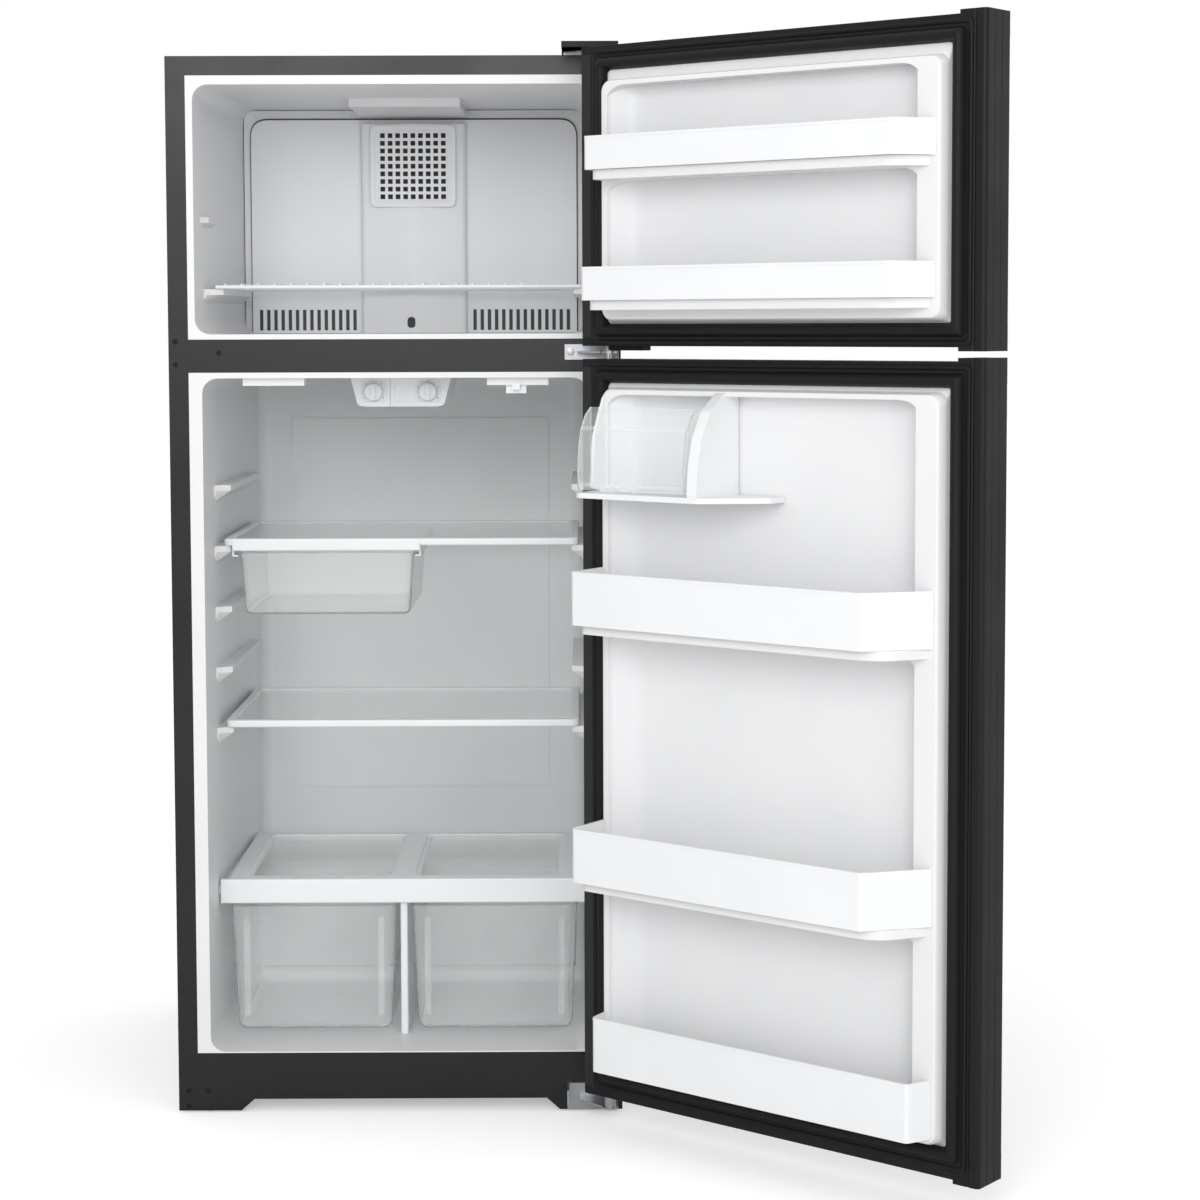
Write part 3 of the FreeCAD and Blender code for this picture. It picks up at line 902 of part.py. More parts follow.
# ---------------------------------------------------------------- base and machinery
def make_base(freezer_fan_motor):
    """Kick plate, front rail, levelling legs, machine base, rollers and the rear cover."""
    spots = BOTTOM_SPOTS + REVERSE_BASE
    inner = HALF - KICK_FOOT_WIDE
    outline = [(-HALF, KICK_FOOT), (-inner, KICK_FOOT), (-inner + KICK_SLANT, KICK_LOW), (inner - KICK_SLANT, KICK_LOW),
               (inner, KICK_FOOT), (HALF, KICK_FOOT), (HALF, OPENING_BOTTOM), (-HALF, OPENING_BOTTOM)]
    kick = prism([V(x, 0, z) for x, z in outline], V(0, KICK_THICK, 0))
    add("kick_plate", kick.cut(front_holes(spots)))

    top = BOTTOM_SHEET_Z - SHEET
    web = box(-FOAM_HALF, FOAM_HALF, KICK_THICK, KICK_THICK + 2, FRONT_RAIL_LOW, top)
    foot = box(-FOAM_HALF, FOAM_HALF, KICK_THICK, FRONT_RAIL_DEEP, FRONT_RAIL_LOW, FRONT_RAIL_LOW + 2)
    back = box(-FOAM_HALF, FOAM_HALF, FRONT_RAIL_DEEP - 2, FRONT_RAIL_DEEP, FRONT_RAIL_LOW, top)
    bores = [rod(x, LEG_Y, FRONT_RAIL_LOW - 1, LEG_STEM_RADIUS + PIN_CLEARANCE, 4) for x in (-LEG_X, LEG_X)]
    rail = fuse([web, foot, back]).cut(front_holes(spots)).cut(Part.makeCompound(bores))
    frame = [rail]
    for name, x in (("left_levelling_leg", -LEG_X), ("right_levelling_leg", LEG_X)):
        pad = rod(x, LEG_Y, 0, LEG_FOOT_RADIUS, LEG_FOOT_HIGH)
        pad = pad.makeChamfer(1.5, [e for e in pad.Edges if abs(e.BoundBox.ZMin - LEG_FOOT_HIGH) < 0.1 and e.Length > 50])
        nut = Part.Face(Part.makePolygon(hexagon(V(x, LEG_Y, LEG_FOOT_HIGH), V(0, 0, 1), 9))).extrude(V(0, 0, 8))
        stem = rod(x, LEG_Y, 0, LEG_STEM_RADIUS, top - 6)
        add(name, fuse([pad, nut, stem]))

    rear = CASE_DEPTH - 4
    front = STEP_Y + LINER_WALL + STEP_FOAM + SHEET
    z = BASE_PLATE_Z
    deck = box(-FOAM_HALF, FOAM_HALF, front, rear, z, z + BASE_PLATE)
    lug = box(-FOAM_HALF, FOAM_HALF, front, front + BASE_PLATE, z, BOTTOM_SHEET_Z - SHEET)
    studs = [rod(COMPRESSOR_X + dx, COMPRESSOR_Y + dy, z - 3, 3, 26) for dx in (-84, 84) for dy in (-46, 46)]
    frame.append(fuse([deck, lug] + studs))
    for side, name in ((-1, "left_rear_roller"), (1, "right_rear_roller")):
        x = side * ROLLER_X
        half = ROLLER_WIDE / 2
        cheeks = [box(x + s * (half + 1.7) - 1.2, x + s * (half + 1.7) + 1.2, ROLLER_Y - 14, ROLLER_Y + 14, 5, z)
                  for s in (-1, 1)]
        pin = rod(x - half - 4, ROLLER_Y, ROLLER_RADIUS, AXLE_RADIUS, 2 * half + 8, V(1, 0, 0))
        frame += [cheek.cut(pin) for cheek in cheeks]
        frame.append(pin)
        wheel = rod(x - half, ROLLER_Y, ROLLER_RADIUS, ROLLER_RADIUS, ROLLER_WIDE, V(1, 0, 0))
        rims = [e for e in wheel.Edges if e.BoundBox.XLength < 0.1]
        wheel = wheel.makeChamfer(1.0, rims)
        bore = rod(x - half - 1, ROLLER_Y, ROLLER_RADIUS, AXLE_RADIUS + PIN_CLEARANCE, ROLLER_WIDE + 2, V(1, 0, 0))
        add(name, wheel.cut(bore))
    add("base_frame", *frame)

    grommets = []
    for dx in (-84, 84):
        for dy in (-46, 46):
            x, y = COMPRESSOR_X + dx, COMPRESSOR_Y + dy
            ring = rod(x, y, z + BASE_PLATE, 9, 14).cut(rod(x, y, z, 3.05, 20))
            grommets.append(ring)
    seat = z + BASE_PLATE + 14
    feet = [box(COMPRESSOR_X - 96, COMPRESSOR_X + 96, COMPRESSOR_Y + dy - 11, COMPRESSOR_Y + dy + 11, seat, seat + 3)
            for dy in (-46, 46)]
    feet += [box(COMPRESSOR_X - 30, COMPRESSOR_X + 30, COMPRESSOR_Y + dy - 3, COMPRESSOR_Y + dy + 3, seat, seat + 28)
             for dy in (-46, 46)]
    can = rod(COMPRESSOR_X, COMPRESSOR_Y, seat, CAN_RADIUS, CAN_TALL)
    for middle in (seat + CAN_DOME, seat + CAN_TALL - CAN_DOME):
        can = can.common(Part.makeSphere(CAN_DOME, V(COMPRESSOR_X, COMPRESSOR_Y, middle)))
    holes = Part.makeCompound([rod(COMPRESSOR_X + dx, COMPRESSOR_Y + dy, z, 3.05, 40) for dx in (-84, 84) for dy in (-46, 46)])
    can = fuse([can] + feet)
    cap = box(COMPRESSOR_X + 66, COMPRESSOR_X + 92, COMPRESSOR_Y - 22, COMPRESSOR_Y + 22, seat + 60, seat + 110)
    add("compressor", can.cut(holes), cap, *grommets)

    coil_x0, coil_x1, coil_y = 60.0, 300.0, 545.0
    points = [V(coil_x0 - 20, coil_y, z + 40)]
    for k in range(6):
        level = z + 40 + 26.0 * k
        ends = (coil_x0, coil_x1) if k % 2 == 0 else (coil_x1, coil_x0)
        if k:
            points.append(V(ends[0], coil_y, level))
        if k < 5:
            points.append(V(ends[1], coil_y, level))
    points.append(V(coil_x0 - 20, coil_y, points[-1].z))
    ends = [box(x - 1, x + 1, coil_y - 16, coil_y + 16, z + BASE_PLATE, z + 190) for x in (coil_x0 + 30, coil_x1 - 30)]
    bores = Part.makeCompound([rod(coil_x0 - 30, coil_y, z + 40 + 26.0 * k, 4.05, 360, V(1, 0, 0)) for k in range(6)])
    add("condenser", tube_path(points, 12.0, 4.0), *[end.cut(bores) for end in ends])

    fan_x, fan_z = 0.0, z + 110
    add("condenser_fan_blade", fan_blade(fan_x, 560, fan_z, 58.0, V(0, 1, 0), 5))
    motor = rod(fan_x, 580, fan_z, 24, 34, V(0, 1, 0))
    shaft = rod(fan_x, 564, fan_z, FAN_SHAFT, 17, V(0, 1, 0))
    post = box(fan_x - 10, fan_x + 10, 584, 610, z + BASE_PLATE, fan_z - 10)
    add("fan_motors", freezer_fan_motor, fuse([motor, shaft, post]))
    pan_x0, pan_x1 = 70.0, 290.0
    pan = box(pan_x0, pan_x1, 585, 668, z + BASE_PLATE, z + BASE_PLATE + 32)
    hollow = box(pan_x0 + 2, pan_x1 - 2, 587, 666, z + BASE_PLATE + 2, z + BASE_PLATE + 40)
    add("drain_pan", pan.cut(hollow))

    cover = box(-FOAM_HALF, FOAM_HALF, rear, rear + 3, z + BASE_PLATE + 1, MACHINE_TOP - 1)
    vents = []
    for k in range(VENT_COUNT):
        x = -270 + 540 * k / (VENT_COUNT - 1)
        vents.append(box(x - 4, x + 4, rear - 1, rear + 4, z + 60, z + 130))
    gland = rod(GLAND_X, rear - 1, GLAND_Z, 8, 5, V(0, 1, 0))
    add("machine_cover", cover.cut(Part.makeCompound(vents)).cut(gland))
    outer = rod(GLAND_X, rear - 4, GLAND_Z, 11, 4, V(0, 1, 0))
    stem = rod(GLAND_X, rear, GLAND_Z, 8, 4, V(0, 1, 0))
    bore = rod(GLAND_X, rear - 6, GLAND_Z, GLAND_RADIUS, 14, V(0, 1, 0))
    add("power_cord_gland", fuse([outer, stem]).cut(bore))


# ---------------------------------------------------------------- whole refrigerator
def origin_shift():
    """Move that puts the origin at the bottom centre of the open refrigerator's box."""
    whole = FreeCAD.BoundBox()
    for shape in nodes.values():
        whole.add(shape.BoundBox)
    return V(-(whole.XMin + whole.XMax) / 2, -(whole.YMin + whole.YMax) / 2, 0)


def build():
    """Every node at its place."""
    make_cabinet()
    make_foam()
    make_liners()
    stop = dbox(34, 98, 24, 46, FREEZER_DOOR_LOW - 7, FREEZER_DOOR_LOW)
    make_door("freezer", FREEZER_DOOR_LOW, FREEZER_DOOR_HIGH, 1227.0, 1673.0, FREEZER_CEILING, FREEZER_SHELVES, [stop])
    make_door("fresh_food", FRESH_DOOR_LOW, FRESH_DOOR_HIGH, 66.0, 1199.0, FRESH_CEILING, FRESH_SHELVES, [])
    make_door_fittings()
    make_hinges()
    make_shelves()
    make_crispers()
    freezer_fan_motor = make_evaporator()
    make_controls()
    make_base(freezer_fan_motor)


build()
SHIFT = origin_shift()
os.makedirs("parts", exist_ok=True)
for name, shape in nodes.items():
    shape.translated(SHIFT).exportStep("parts/" + name + ".step")
print(len(nodes), "nodes", "shift", SHIFT)
for name, shape in nodes.items():
    bad = [s for s in shape.Solids if not s.isValid() or s.Volume <= 0]
    if bad or not shape.Solids:
        print("check", name, len(shape.Solids), len(bad))
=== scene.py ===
import json
import math

import bmesh
import bpy
from mathutils import Matrix, Vector

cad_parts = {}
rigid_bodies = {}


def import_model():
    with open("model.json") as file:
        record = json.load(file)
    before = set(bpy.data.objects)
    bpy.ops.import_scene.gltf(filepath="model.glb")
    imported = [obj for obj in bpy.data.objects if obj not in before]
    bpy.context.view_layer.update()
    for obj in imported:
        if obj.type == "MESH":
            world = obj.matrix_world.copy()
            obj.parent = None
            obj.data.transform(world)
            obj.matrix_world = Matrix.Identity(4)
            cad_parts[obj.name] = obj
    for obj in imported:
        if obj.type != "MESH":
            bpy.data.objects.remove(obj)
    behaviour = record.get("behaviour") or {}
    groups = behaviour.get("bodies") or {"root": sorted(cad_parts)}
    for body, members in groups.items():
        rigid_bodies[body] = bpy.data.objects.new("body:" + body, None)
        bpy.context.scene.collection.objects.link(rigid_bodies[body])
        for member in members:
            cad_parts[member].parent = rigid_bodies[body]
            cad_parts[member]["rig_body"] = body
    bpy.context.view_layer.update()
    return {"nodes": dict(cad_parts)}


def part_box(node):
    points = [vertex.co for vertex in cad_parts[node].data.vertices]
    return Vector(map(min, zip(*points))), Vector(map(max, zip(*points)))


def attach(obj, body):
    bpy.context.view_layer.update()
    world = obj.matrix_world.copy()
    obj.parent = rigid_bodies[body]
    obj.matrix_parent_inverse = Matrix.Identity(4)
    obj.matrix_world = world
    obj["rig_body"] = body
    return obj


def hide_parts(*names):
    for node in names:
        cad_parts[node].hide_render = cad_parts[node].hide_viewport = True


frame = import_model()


# ---- Outer case
# Side panels and roof of pre-painted black sheet steel, folded inwards at the front. The paint has a fine
# orange peel that breaks up the light along the folds. Every piece here is drawn in millimetres from the
# middle of the case's front edge on the floor, and CASE puts it in place.
CASE_HALF = 355.0
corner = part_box("outer_case")[0]
CASE = Matrix.Translation((corner.x + CASE_HALF / 1000, corner.y, 0.0)) @ Matrix.Diagonal((0.001, 0.001, 0.001, 1.0))
NODES = frame["nodes"]


def hex_colour(code):
    """Linear colour of an sRGB hex value."""
    parts = [int(code[k:k + 2], 16) / 255 for k in (1, 3, 5)]
    return tuple(c / 12.92 if c <= 0.04045 else ((c + 0.055) / 1.055) ** 2.4 for c in parts) + (1.0,)


def add_node(tree, kind, sockets=None, **settings):
    """One node with its settings; a socket's value is a number, a colour or another node's output."""
    node = tree.nodes.new(kind)
    for key, value in settings.items():
        setattr(node, key, value)
    for key, value in (sockets or {}).items():
        if isinstance(value, bpy.types.NodeSocket):
            tree.links.new(value, node.inputs[key])
        else:
            node.inputs[key].default_value = value
    return node


def coated(name, dark, light, rough, grain_mm, relief_mm, **shader):
    """A skin whose tone wanders over a hand's width and whose gloss and relief follow a fine grain."""
    material = bpy.data.materials.new(name)
    material.use_nodes = True
    tree = material.node_tree
    tree.nodes.clear()
    here = add_node(tree, "ShaderNodeTexCoord").outputs["Object"]
    broad = add_node(tree, "ShaderNodeTexNoise", {"Vector": here, "Scale": 7.0, "Detail": 3.0})
    grain = add_node(tree, "ShaderNodeTexNoise", {"Vector": here, "Scale": 1000.0 / grain_mm, "Detail": 2.0})
    tone = add_node(tree, "ShaderNodeMix", {0: broad.outputs["Fac"], 6: hex_colour(dark), 7: hex_colour(light)},
                    data_type="RGBA")
    gloss = add_node(tree, "ShaderNodeMapRange", {"Value": broad.outputs["Fac"], "From Min": 0.3, "From Max": 0.7,
                                                  "To Min": rough[0], "To Max": rough[1]})
    bump = add_node(tree, "ShaderNodeBump", {"Height": grain.outputs["Fac"], "Distance": relief_mm / 1000})
    sockets = {"Base Color": tone.outputs[2], "Roughness": gloss.outputs["Result"], "Normal": bump.outputs["Normal"]}
    sockets.update({key.replace("_", " "): value for key, value in shader.items()})
    skin = add_node(tree, "ShaderNodeBsdfPrincipled", sockets)
    add_node(tree, "ShaderNodeOutputMaterial", {"Surface": skin.outputs["BSDF"]})
    return material


def make_piece(name, shape, material, body, covers=(), place=CASE, angle=35):
    """Turns a drawn shape into a finished piece that rides on a body."""
    bmesh.ops.recalc_face_normals(shape, faces=shape.faces)
    mesh = bpy.data.meshes.new(name)
    shape.to_mesh(mesh)
    shape.free()
    mesh.transform(place)
    mesh.materials.append(material)
    mesh.polygons.foreach_set("use_smooth", [True] * len(mesh.polygons))
    mesh.set_sharp_from_angle(angle=math.radians(angle))
    piece = bpy.data.objects.new(name, mesh)
    bpy.context.collection.objects.link(piece)
    even = piece.modifiers.new("even", "WEIGHTED_NORMAL")
    even.keep_sharp = True
    bpy.context.view_layer.update()
    piece.data = bpy.data.meshes.new_from_object(piece.evaluated_get(bpy.context.evaluated_depsgraph_get()))
    piece.modifiers.clear()
    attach(piece, body)
    if covers:
        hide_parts(*covers)
    return piece


def round_edges(shape, width, segments=2, above=30.0, where=None):
    """Rounds the edges that turn by more than an angle."""
    edges = [e for e in shape.edges if len(e.link_faces) == 2 and e.calc_face_angle(0.0) > math.radians(above)
             and (where is None or where(e))]
    bmesh.ops.bevel(shape, geom=edges, offset=width, segments=segments, profile=0.5, affect="EDGES",
                    clamp_overlap=True)
    return shape


def refine(node, name, material, width, body=None, segments=2):
    """A copy of a CAD node with its edges rounded, which stands for it."""
    shape = bmesh.new()
    shape.from_mesh(NODES[node].data)
    bmesh.ops.remove_doubles(shape, verts=shape.verts, dist=1e-5)
    bmesh.ops.dissolve_limit(shape, angle_limit=math.radians(1.0), verts=shape.verts, edges=shape.edges)
    round_edges(shape, width / 1000, segments)
    return make_piece(name, shape, material, body or NODES[node]["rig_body"], (node,), Matrix.Identity(4))


# Pre-painted steel: near-black, satin, with orange peel of about 2 mm.
black_enamel = coated("black_prepainted_steel", "#0d0e0f", "#151617", (0.3, 0.4), 2.2, 0.02)
refine("outer_case", "case_panels", black_enamel, 1.0)
refine("centre_rail", "centre_rail_cover", black_enamel, 0.8)


# ---- Kick plate
# A pressed black plate under the fresh-food opening, with a foot at each side; painted like the case.
refine("kick_plate", "kick_plate_pressing", black_enamel, 0.8)


# ---- Cabinet liners
# Each compartment is one sheet of white high-impact styrene drawn into a mould, so all its corners are
# soft. Its front land lies flat between the black flanges; its side walls carry ledges for the shelves.
# The sheet is satin, with a very slight orange peel.
white_liner = coated("white_styrene_liner", "#e3e4e5", "#ebebec", (0.36, 0.46), 3.0, 0.015)
INSIDE_DEPTH = 592.0


def block(shape, x0, x1, y0, y1, z0, z1):
    """A box between two corners."""
    v = [shape.verts.new((x, y, z)) for z in (z0, z1) for y in (y0, y1) for x in (x0, x1)]
    for a, b, c, d in ((0, 2, 3, 1), (4, 5, 7, 6), (0, 1, 5, 4), (2, 6, 7, 3), (0, 4, 6, 2), (1, 3, 7, 5)):
        shape.faces.new((v[a], v[b], v[c], v[d]))
    return shape


def loft(shape, rings, closed=False):
    """Skin over rings of equally many points; the end rings are filled unless the loft closes on itself."""
    rows = [[shape.verts.new(p) for p in ring] for ring in rings]
    pairs = list(zip(rows, rows[1:]))
    if closed:
        pairs.append((rows[-1], rows[0]))
    else:
        shape.faces.new(list(reversed(rows[0])))
        shape.faces.new(rows[-1])
    for a, b in pairs:
        for k in range(len(a)):
            j = (k + 1) % len(a)
            shape.faces.new((a[k], a[j], b[j], b[k]))
    return shape


def carve(solid, tool, operation="DIFFERENCE"):
    """One drawn shape cut, joined or trimmed by another."""
    pair = []
    for drawn in (solid, tool):
        bmesh.ops.recalc_face_normals(drawn, faces=drawn.faces)
        mesh = bpy.data.meshes.new("carving")
        drawn.to_mesh(mesh)
        drawn.free()
        pair.append(bpy.data.objects.new("carving", mesh))
        bpy.context.collection.objects.link(pair[-1])
    change = pair[0].modifiers.new("carve", "BOOLEAN")
    change.object = pair[1]
    change.operation = operation
    change.solver = "EXACT"
    change.use_self = True
    result = bmesh.new()
    bpy.context.view_layer.update()
    result.from_object(pair[0], bpy.context.evaluated_depsgraph_get())
    for held in pair:
        bpy.data.objects.remove(held)
    bmesh.ops.remove_doubles(result, verts=result.verts, dist=0.01)
    bmesh.ops.dissolve_limit(result, angle_limit=math.radians(0.5), verts=result.verts, edges=result.edges)
    return result


def half_at(front, back, y):
    return front + (back - front) * y / INSIDE_DEPTH


def liner(name, node, halves, floor, ceiling, land, profile, ledges, extras, soft):
    """A compartment's liner: a block with the rounded room carved out, less the ledges that stand in it."""
    front, back = halves
    room = bmesh.new()
    loft(room, [[(side * half_at(front, back, y), y, z) for y, z in profile] for side in (-1, 1)])
    bmesh.ops.recalc_face_normals(room, faces=room.faces)
    round_edges(room, soft, 5, where=lambda e: e.is_convex and not all(v.co.y < 0 for v in e.verts))
    stands = bmesh.new()
    for top, y0, y1, reach, drop in ledges:
        for side in (-1, 1):
            rings = []
            for y, out in ((y0, 0.0), (y0 + 12, 1.0), (y1, 1.0)):
                wall = half_at(front, back, y) + 3
                tip = wall + (reach - wall) * (0.25 + 0.75 * out)
                rings.append([(side * wall, y, top), (side * tip, y, top), (side * tip, y, top - 9),
                              (side * wall, y, top - drop)])
            loft(stands, rings)
    for box in extras:
        block(stands, *box)
    room = carve(room, stands)
    round_edges(room, 2.5, 3, above=35, where=lambda e: not all(v.co.y < 0 for v in e.verts))
    body = block(bmesh.new(), -324, 324, 0, INSIDE_DEPTH + 1.5, *land)
    body = carve(body, room)
    round_edges(body, 3.0, 3, above=40, where=lambda e: all(v.co.y < 0.5 for v in e.verts))
    return make_piece(name, body, white_liner, "root", (node,))


FREEZER_FLOOR, FREEZER_CEILING = 1243.0, 1632.0
freezer_profile = [(-2, FREEZER_FLOOR), (INSIDE_DEPTH, FREEZER_FLOOR), (INSIDE_DEPTH, FREEZER_CEILING), (-2, FREEZER_CEILING)]
liner("freezer_moulded_liner", "freezer_liner", (313.0, 295.0), FREEZER_FLOOR, FREEZER_CEILING, (1235.0, 1646.0),
      freezer_profile, [(1315.1, 84, 440, 281, 22), (1429.0, 60, 150, 300, 16)],
      [(-92, 92, 250, 470, 1618, 1640)], 24.0)
FRESH_FLOOR, FRESH_CEILING, STEP_Y, STEP_TOP = 98.0, 1174.0, 434.0, 300.0
fresh_profile = [(-2, FRESH_FLOOR), (STEP_Y, FRESH_FLOOR), (STEP_Y, STEP_TOP), (INSIDE_DEPTH, STEP_TOP),
                 (INSIDE_DEPTH, FRESH_CEILING), (-2, FRESH_CEILING)]
shelf_ledges = [(604.7 + 98.7 * k, 100, 480, 276, 28) for k in range(5)]
liner("fresh_food_moulded_liner", "fresh_food_liner", (303.0, 290.0), FRESH_FLOOR, FRESH_CEILING, (96.0, 1183.0),
      fresh_profile, shelf_ledges + [(345.0, 100, 480, 281, 24)],
      [(144, 241, 14, 60, 1162, 1180), (-241, -144, 14, 60, 1162, 1180), (-231, 231, 589.5, 600, 420, 1090)], 24.0)


# ---- Evaporator cover
# The freezer's back panel is injection-moulded white plastic with rounded upper corners. A crowned duct
# runs up its middle to the fan's grille, and a row of return slots is pressed along each side of its foot.
# A thin dark grey strip round its edge is painted shadow standing for the gap behind the panel.
white_moulding = coated("white_abs_moulding", "#e6e8ea", "#f0f1f2", (0.28, 0.38), 1.2, 0.008)
# Dark grey used only as painted shade: the shadow gap round the panel, the drain hole and the space behind the grille.
gap_shade_grey = coated("painted_gap_shade", "#4a4b4d", "#66686b", (0.8, 0.9), 0.8, 0.15, Specular_IOR_Level=0.2)
COVER_Y, COVER_TOP, COVER_HALF = 480.0, 1614.0, 284.0
DUCT_HALF, DUCT_Y = 92.0, 458.0
SLOT_PITCH, SLOT_WIDE, SLOT_LOW, SLOT_HIGH, SLOT_COUNT = 12.6, 6.0, 1248.0, 1284.0, 14


def arc_corners(points, radii, steps=6):
    """A closed outline with its corners turned into arcs."""
    outline = []
    for k, point in enumerate(points):
        p = Vector(point)
        a, b = Vector(points[k - 1]) - p, Vector(points[(k + 1) % len(points)]) - p
        radius = radii[k] if isinstance(radii, (list, tuple)) else radii
        if radius <= 0:
            outline.append(tuple(p))
            continue
        cut = min(radius / math.tan(a.angle(b) / 2), a.length * 0.49, b.length * 0.49)
        start, end = p + a.normalized() * cut, p + b.normalized() * cut
        for s in range(steps + 1):
            t = s / steps
            outline.append(tuple(start * (1 - t) ** 2 + p * (2 * t * (1 - t)) + end * t * t))
    return outline


def prism(shape, outline, low, high, along="Z"):
    """An outline drawn out along an axis."""
    place = {"X": lambda p, d: (d, p[0], p[1]), "Y": lambda p, d: (p[0], d, p[1]), "Z": lambda p, d: (p[0], p[1], d)}[along]
    return loft(shape, [[place(p, d) for p in outline] for d in (low, high)])


def repeat_mesh(name, cell, count, first, step, material, body, covers=()):
    """Rows and columns of one small cell, laid out and made real by geometry nodes."""
    seed = bpy.data.meshes.new(name + "_cell")
    cell.to_mesh(seed)
    cell.free()
    cell_piece = bpy.data.objects.new(name + "_cell", seed)
    bpy.context.collection.objects.link(cell_piece)
    piece = bpy.data.objects.new(name, bpy.data.meshes.new(name))
    bpy.context.collection.objects.link(piece)
    tree = bpy.data.node_groups.new(name + "_layout", "GeometryNodeTree")
    tree.interface.new_socket("Geometry", in_out="OUTPUT", socket_type="NodeSocketGeometry")
    sockets = {}
    for label, value in (("Columns", count[0]), ("Rows", count[1])):
        sockets[label] = tree.interface.new_socket(label, in_out="INPUT", socket_type="NodeSocketInt")
        sockets[label].default_value = value
    for label, value in (("Column Step", step[0]), ("Row Step", step[1])):
        sockets[label] = tree.interface.new_socket(label, in_out="INPUT", socket_type="NodeSocketVector")
        sockets[label].default_value = value
    given = add_node(tree, "NodeGroupInput").outputs
    zero = (0.0, 0.0, 0.0)
    row = add_node(tree, "GeometryNodeMeshLine", {"Count": given["Columns"], "Start Location": first,
                                                  "Offset": given["Column Step"]}, mode="OFFSET")
    column = add_node(tree, "GeometryNodeMeshLine", {"Count": given["Rows"], "Start Location": zero,
                                                     "Offset": given["Row Step"]}, mode="OFFSET")
    source = add_node(tree, "GeometryNodeObjectInfo", {"Object": cell_piece})
    line = add_node(tree, "GeometryNodeInstanceOnPoints", {"Points": row.outputs["Mesh"], "Instance": source.outputs["Geometry"]})
    sheet = add_node(tree, "GeometryNodeInstanceOnPoints", {"Points": column.outputs["Mesh"], "Instance": line.outputs["Instances"]})
    real = add_node(tree, "GeometryNodeRealizeInstances", {"Geometry": sheet.outputs["Instances"]})
    weld = add_node(tree, "GeometryNodeMergeByDistance", {"Geometry": real.outputs["Geometry"], "Distance": 0.01})
    paint = add_node(tree, "GeometryNodeSetMaterial", {"Geometry": weld.outputs["Geometry"], "Material": material})
    add_node(tree, "NodeGroupOutput", {"Geometry": paint.outputs["Geometry"]})
    layout = piece.modifiers.new("layout", "NODES")
    layout.node_group = tree
    layout[sockets["Columns"].identifier] = count[0]
    layout[sockets["Rows"].identifier] = count[1]
    bpy.context.view_layer.update()
    shape = bmesh.new()
    shape.from_object(piece, bpy.context.evaluated_depsgraph_get())
    bpy.data.objects.remove(piece)
    bpy.data.objects.remove(cell_piece)
    return make_piece(name, shape, material, body, covers)


plate = prism(bmesh.new(), arc_corners([(-COVER_HALF, 1243.3), (COVER_HALF, 1243.3), (COVER_HALF, COVER_TOP),
                                        (-COVER_HALF, COVER_TOP)], [0, 0, 30, 30]), COVER_Y - 3, COVER_Y + 2, "Y")
duct = arc_corners([(-DUCT_HALF, COVER_Y + 1), (-DUCT_HALF, DUCT_Y + 6), (0, DUCT_Y - 1), (DUCT_HALF, DUCT_Y + 6),
                    (DUCT_HALF, COVER_Y + 1)], [0, 12, 180, 12, 0], 8)
windows = bmesh.new()
for side in (-1, 1):
    x0, x1 = sorted((side * (DUCT_HALF + 7), side * (DUCT_HALF + 7 + SLOT_PITCH * SLOT_COUNT)))
    block(windows, x0, x1, COVER_Y - 10, COVER_Y + 10, SLOT_LOW - 2, SLOT_HIGH + 2)
plate = round_edges(carve(plate, windows), 1.5, 2)
column = prism(bmesh.new(), duct, 1243.3, COVER_TOP - 8)
round_edges(column, 5, 4, where=lambda e: all(v.co.z > COVER_TOP - 9 for v in e.verts))
holes = block(bmesh.new(), -70, 70, 440, 490, 1466, 1599)
prism(holes, arc_corners([(-12, 1252), (2, 1252), (2, 1271), (-12, 1271)], 6.9, 6), 440, 470, "Y")
column = carve(column, holes)
joined = bpy.data.meshes.new("duct")
column.to_mesh(joined)
column.free()
plate.from_mesh(joined)
make_piece("evaporator_cover_moulding", plate, white_moulding, "root", ("evaporator_cover",))
dark_recess = block(bmesh.new(), -14, 4, 466, 468, 1250, 1273)
make_piece("drain_hole_shadow", dark_recess, gap_shade_grey, "root")
# Painted shadow: a thin dark grey strip just behind the panel's edge stands for the shade in the gap round it.
rim = arc_corners([(-COVER_HALF - 2, 1243.6), (COVER_HALF + 2, 1243.6), (COVER_HALF + 2, COVER_TOP + 3),
                   (-COVER_HALF - 2, COVER_TOP + 3)], [0, 0, 32, 32])
make_piece("evaporator_cover_seal", prism(bmesh.new(), rim, COVER_Y + 2.2, COVER_Y + 4, "Y"), gap_shade_grey, "root")
back = arc_corners([(-297, 1243.6), (297, 1243.6), (297, 1631), (-297, 1631)], [0, 0, 22, 22])
back = prism(bmesh.new(), back, COVER_Y + 4.2, COVER_Y + 6, "Y")
open_middle = block(bmesh.new(), -150, 150, COVER_Y, COVER_Y + 10, 1300, 1600)
make_piece("evaporator_cover_flange", carve(back, open_middle), white_moulding, "root")


def pierced_cell(wide, tall, hole_wide, hole_tall, thick, y):
    """A small plate with one square hole, centred on its own origin."""
    rings = []
    for depth in (y, y + thick):
        rings.append([(sx * wide / 2, depth, sz * tall / 2) for sx, sz in ((-1, -1), (1, -1), (1, 1), (-1, 1))])
    holes = []
    for depth in (y + thick, y):
        holes.append([(sx * hole_wide / 2, depth, sz * hole_tall / 2) for sx, sz in ((-1, -1), (1, -1), (1, 1), (-1, 1))])
    return loft(bmesh.new(), rings + holes, closed=True)


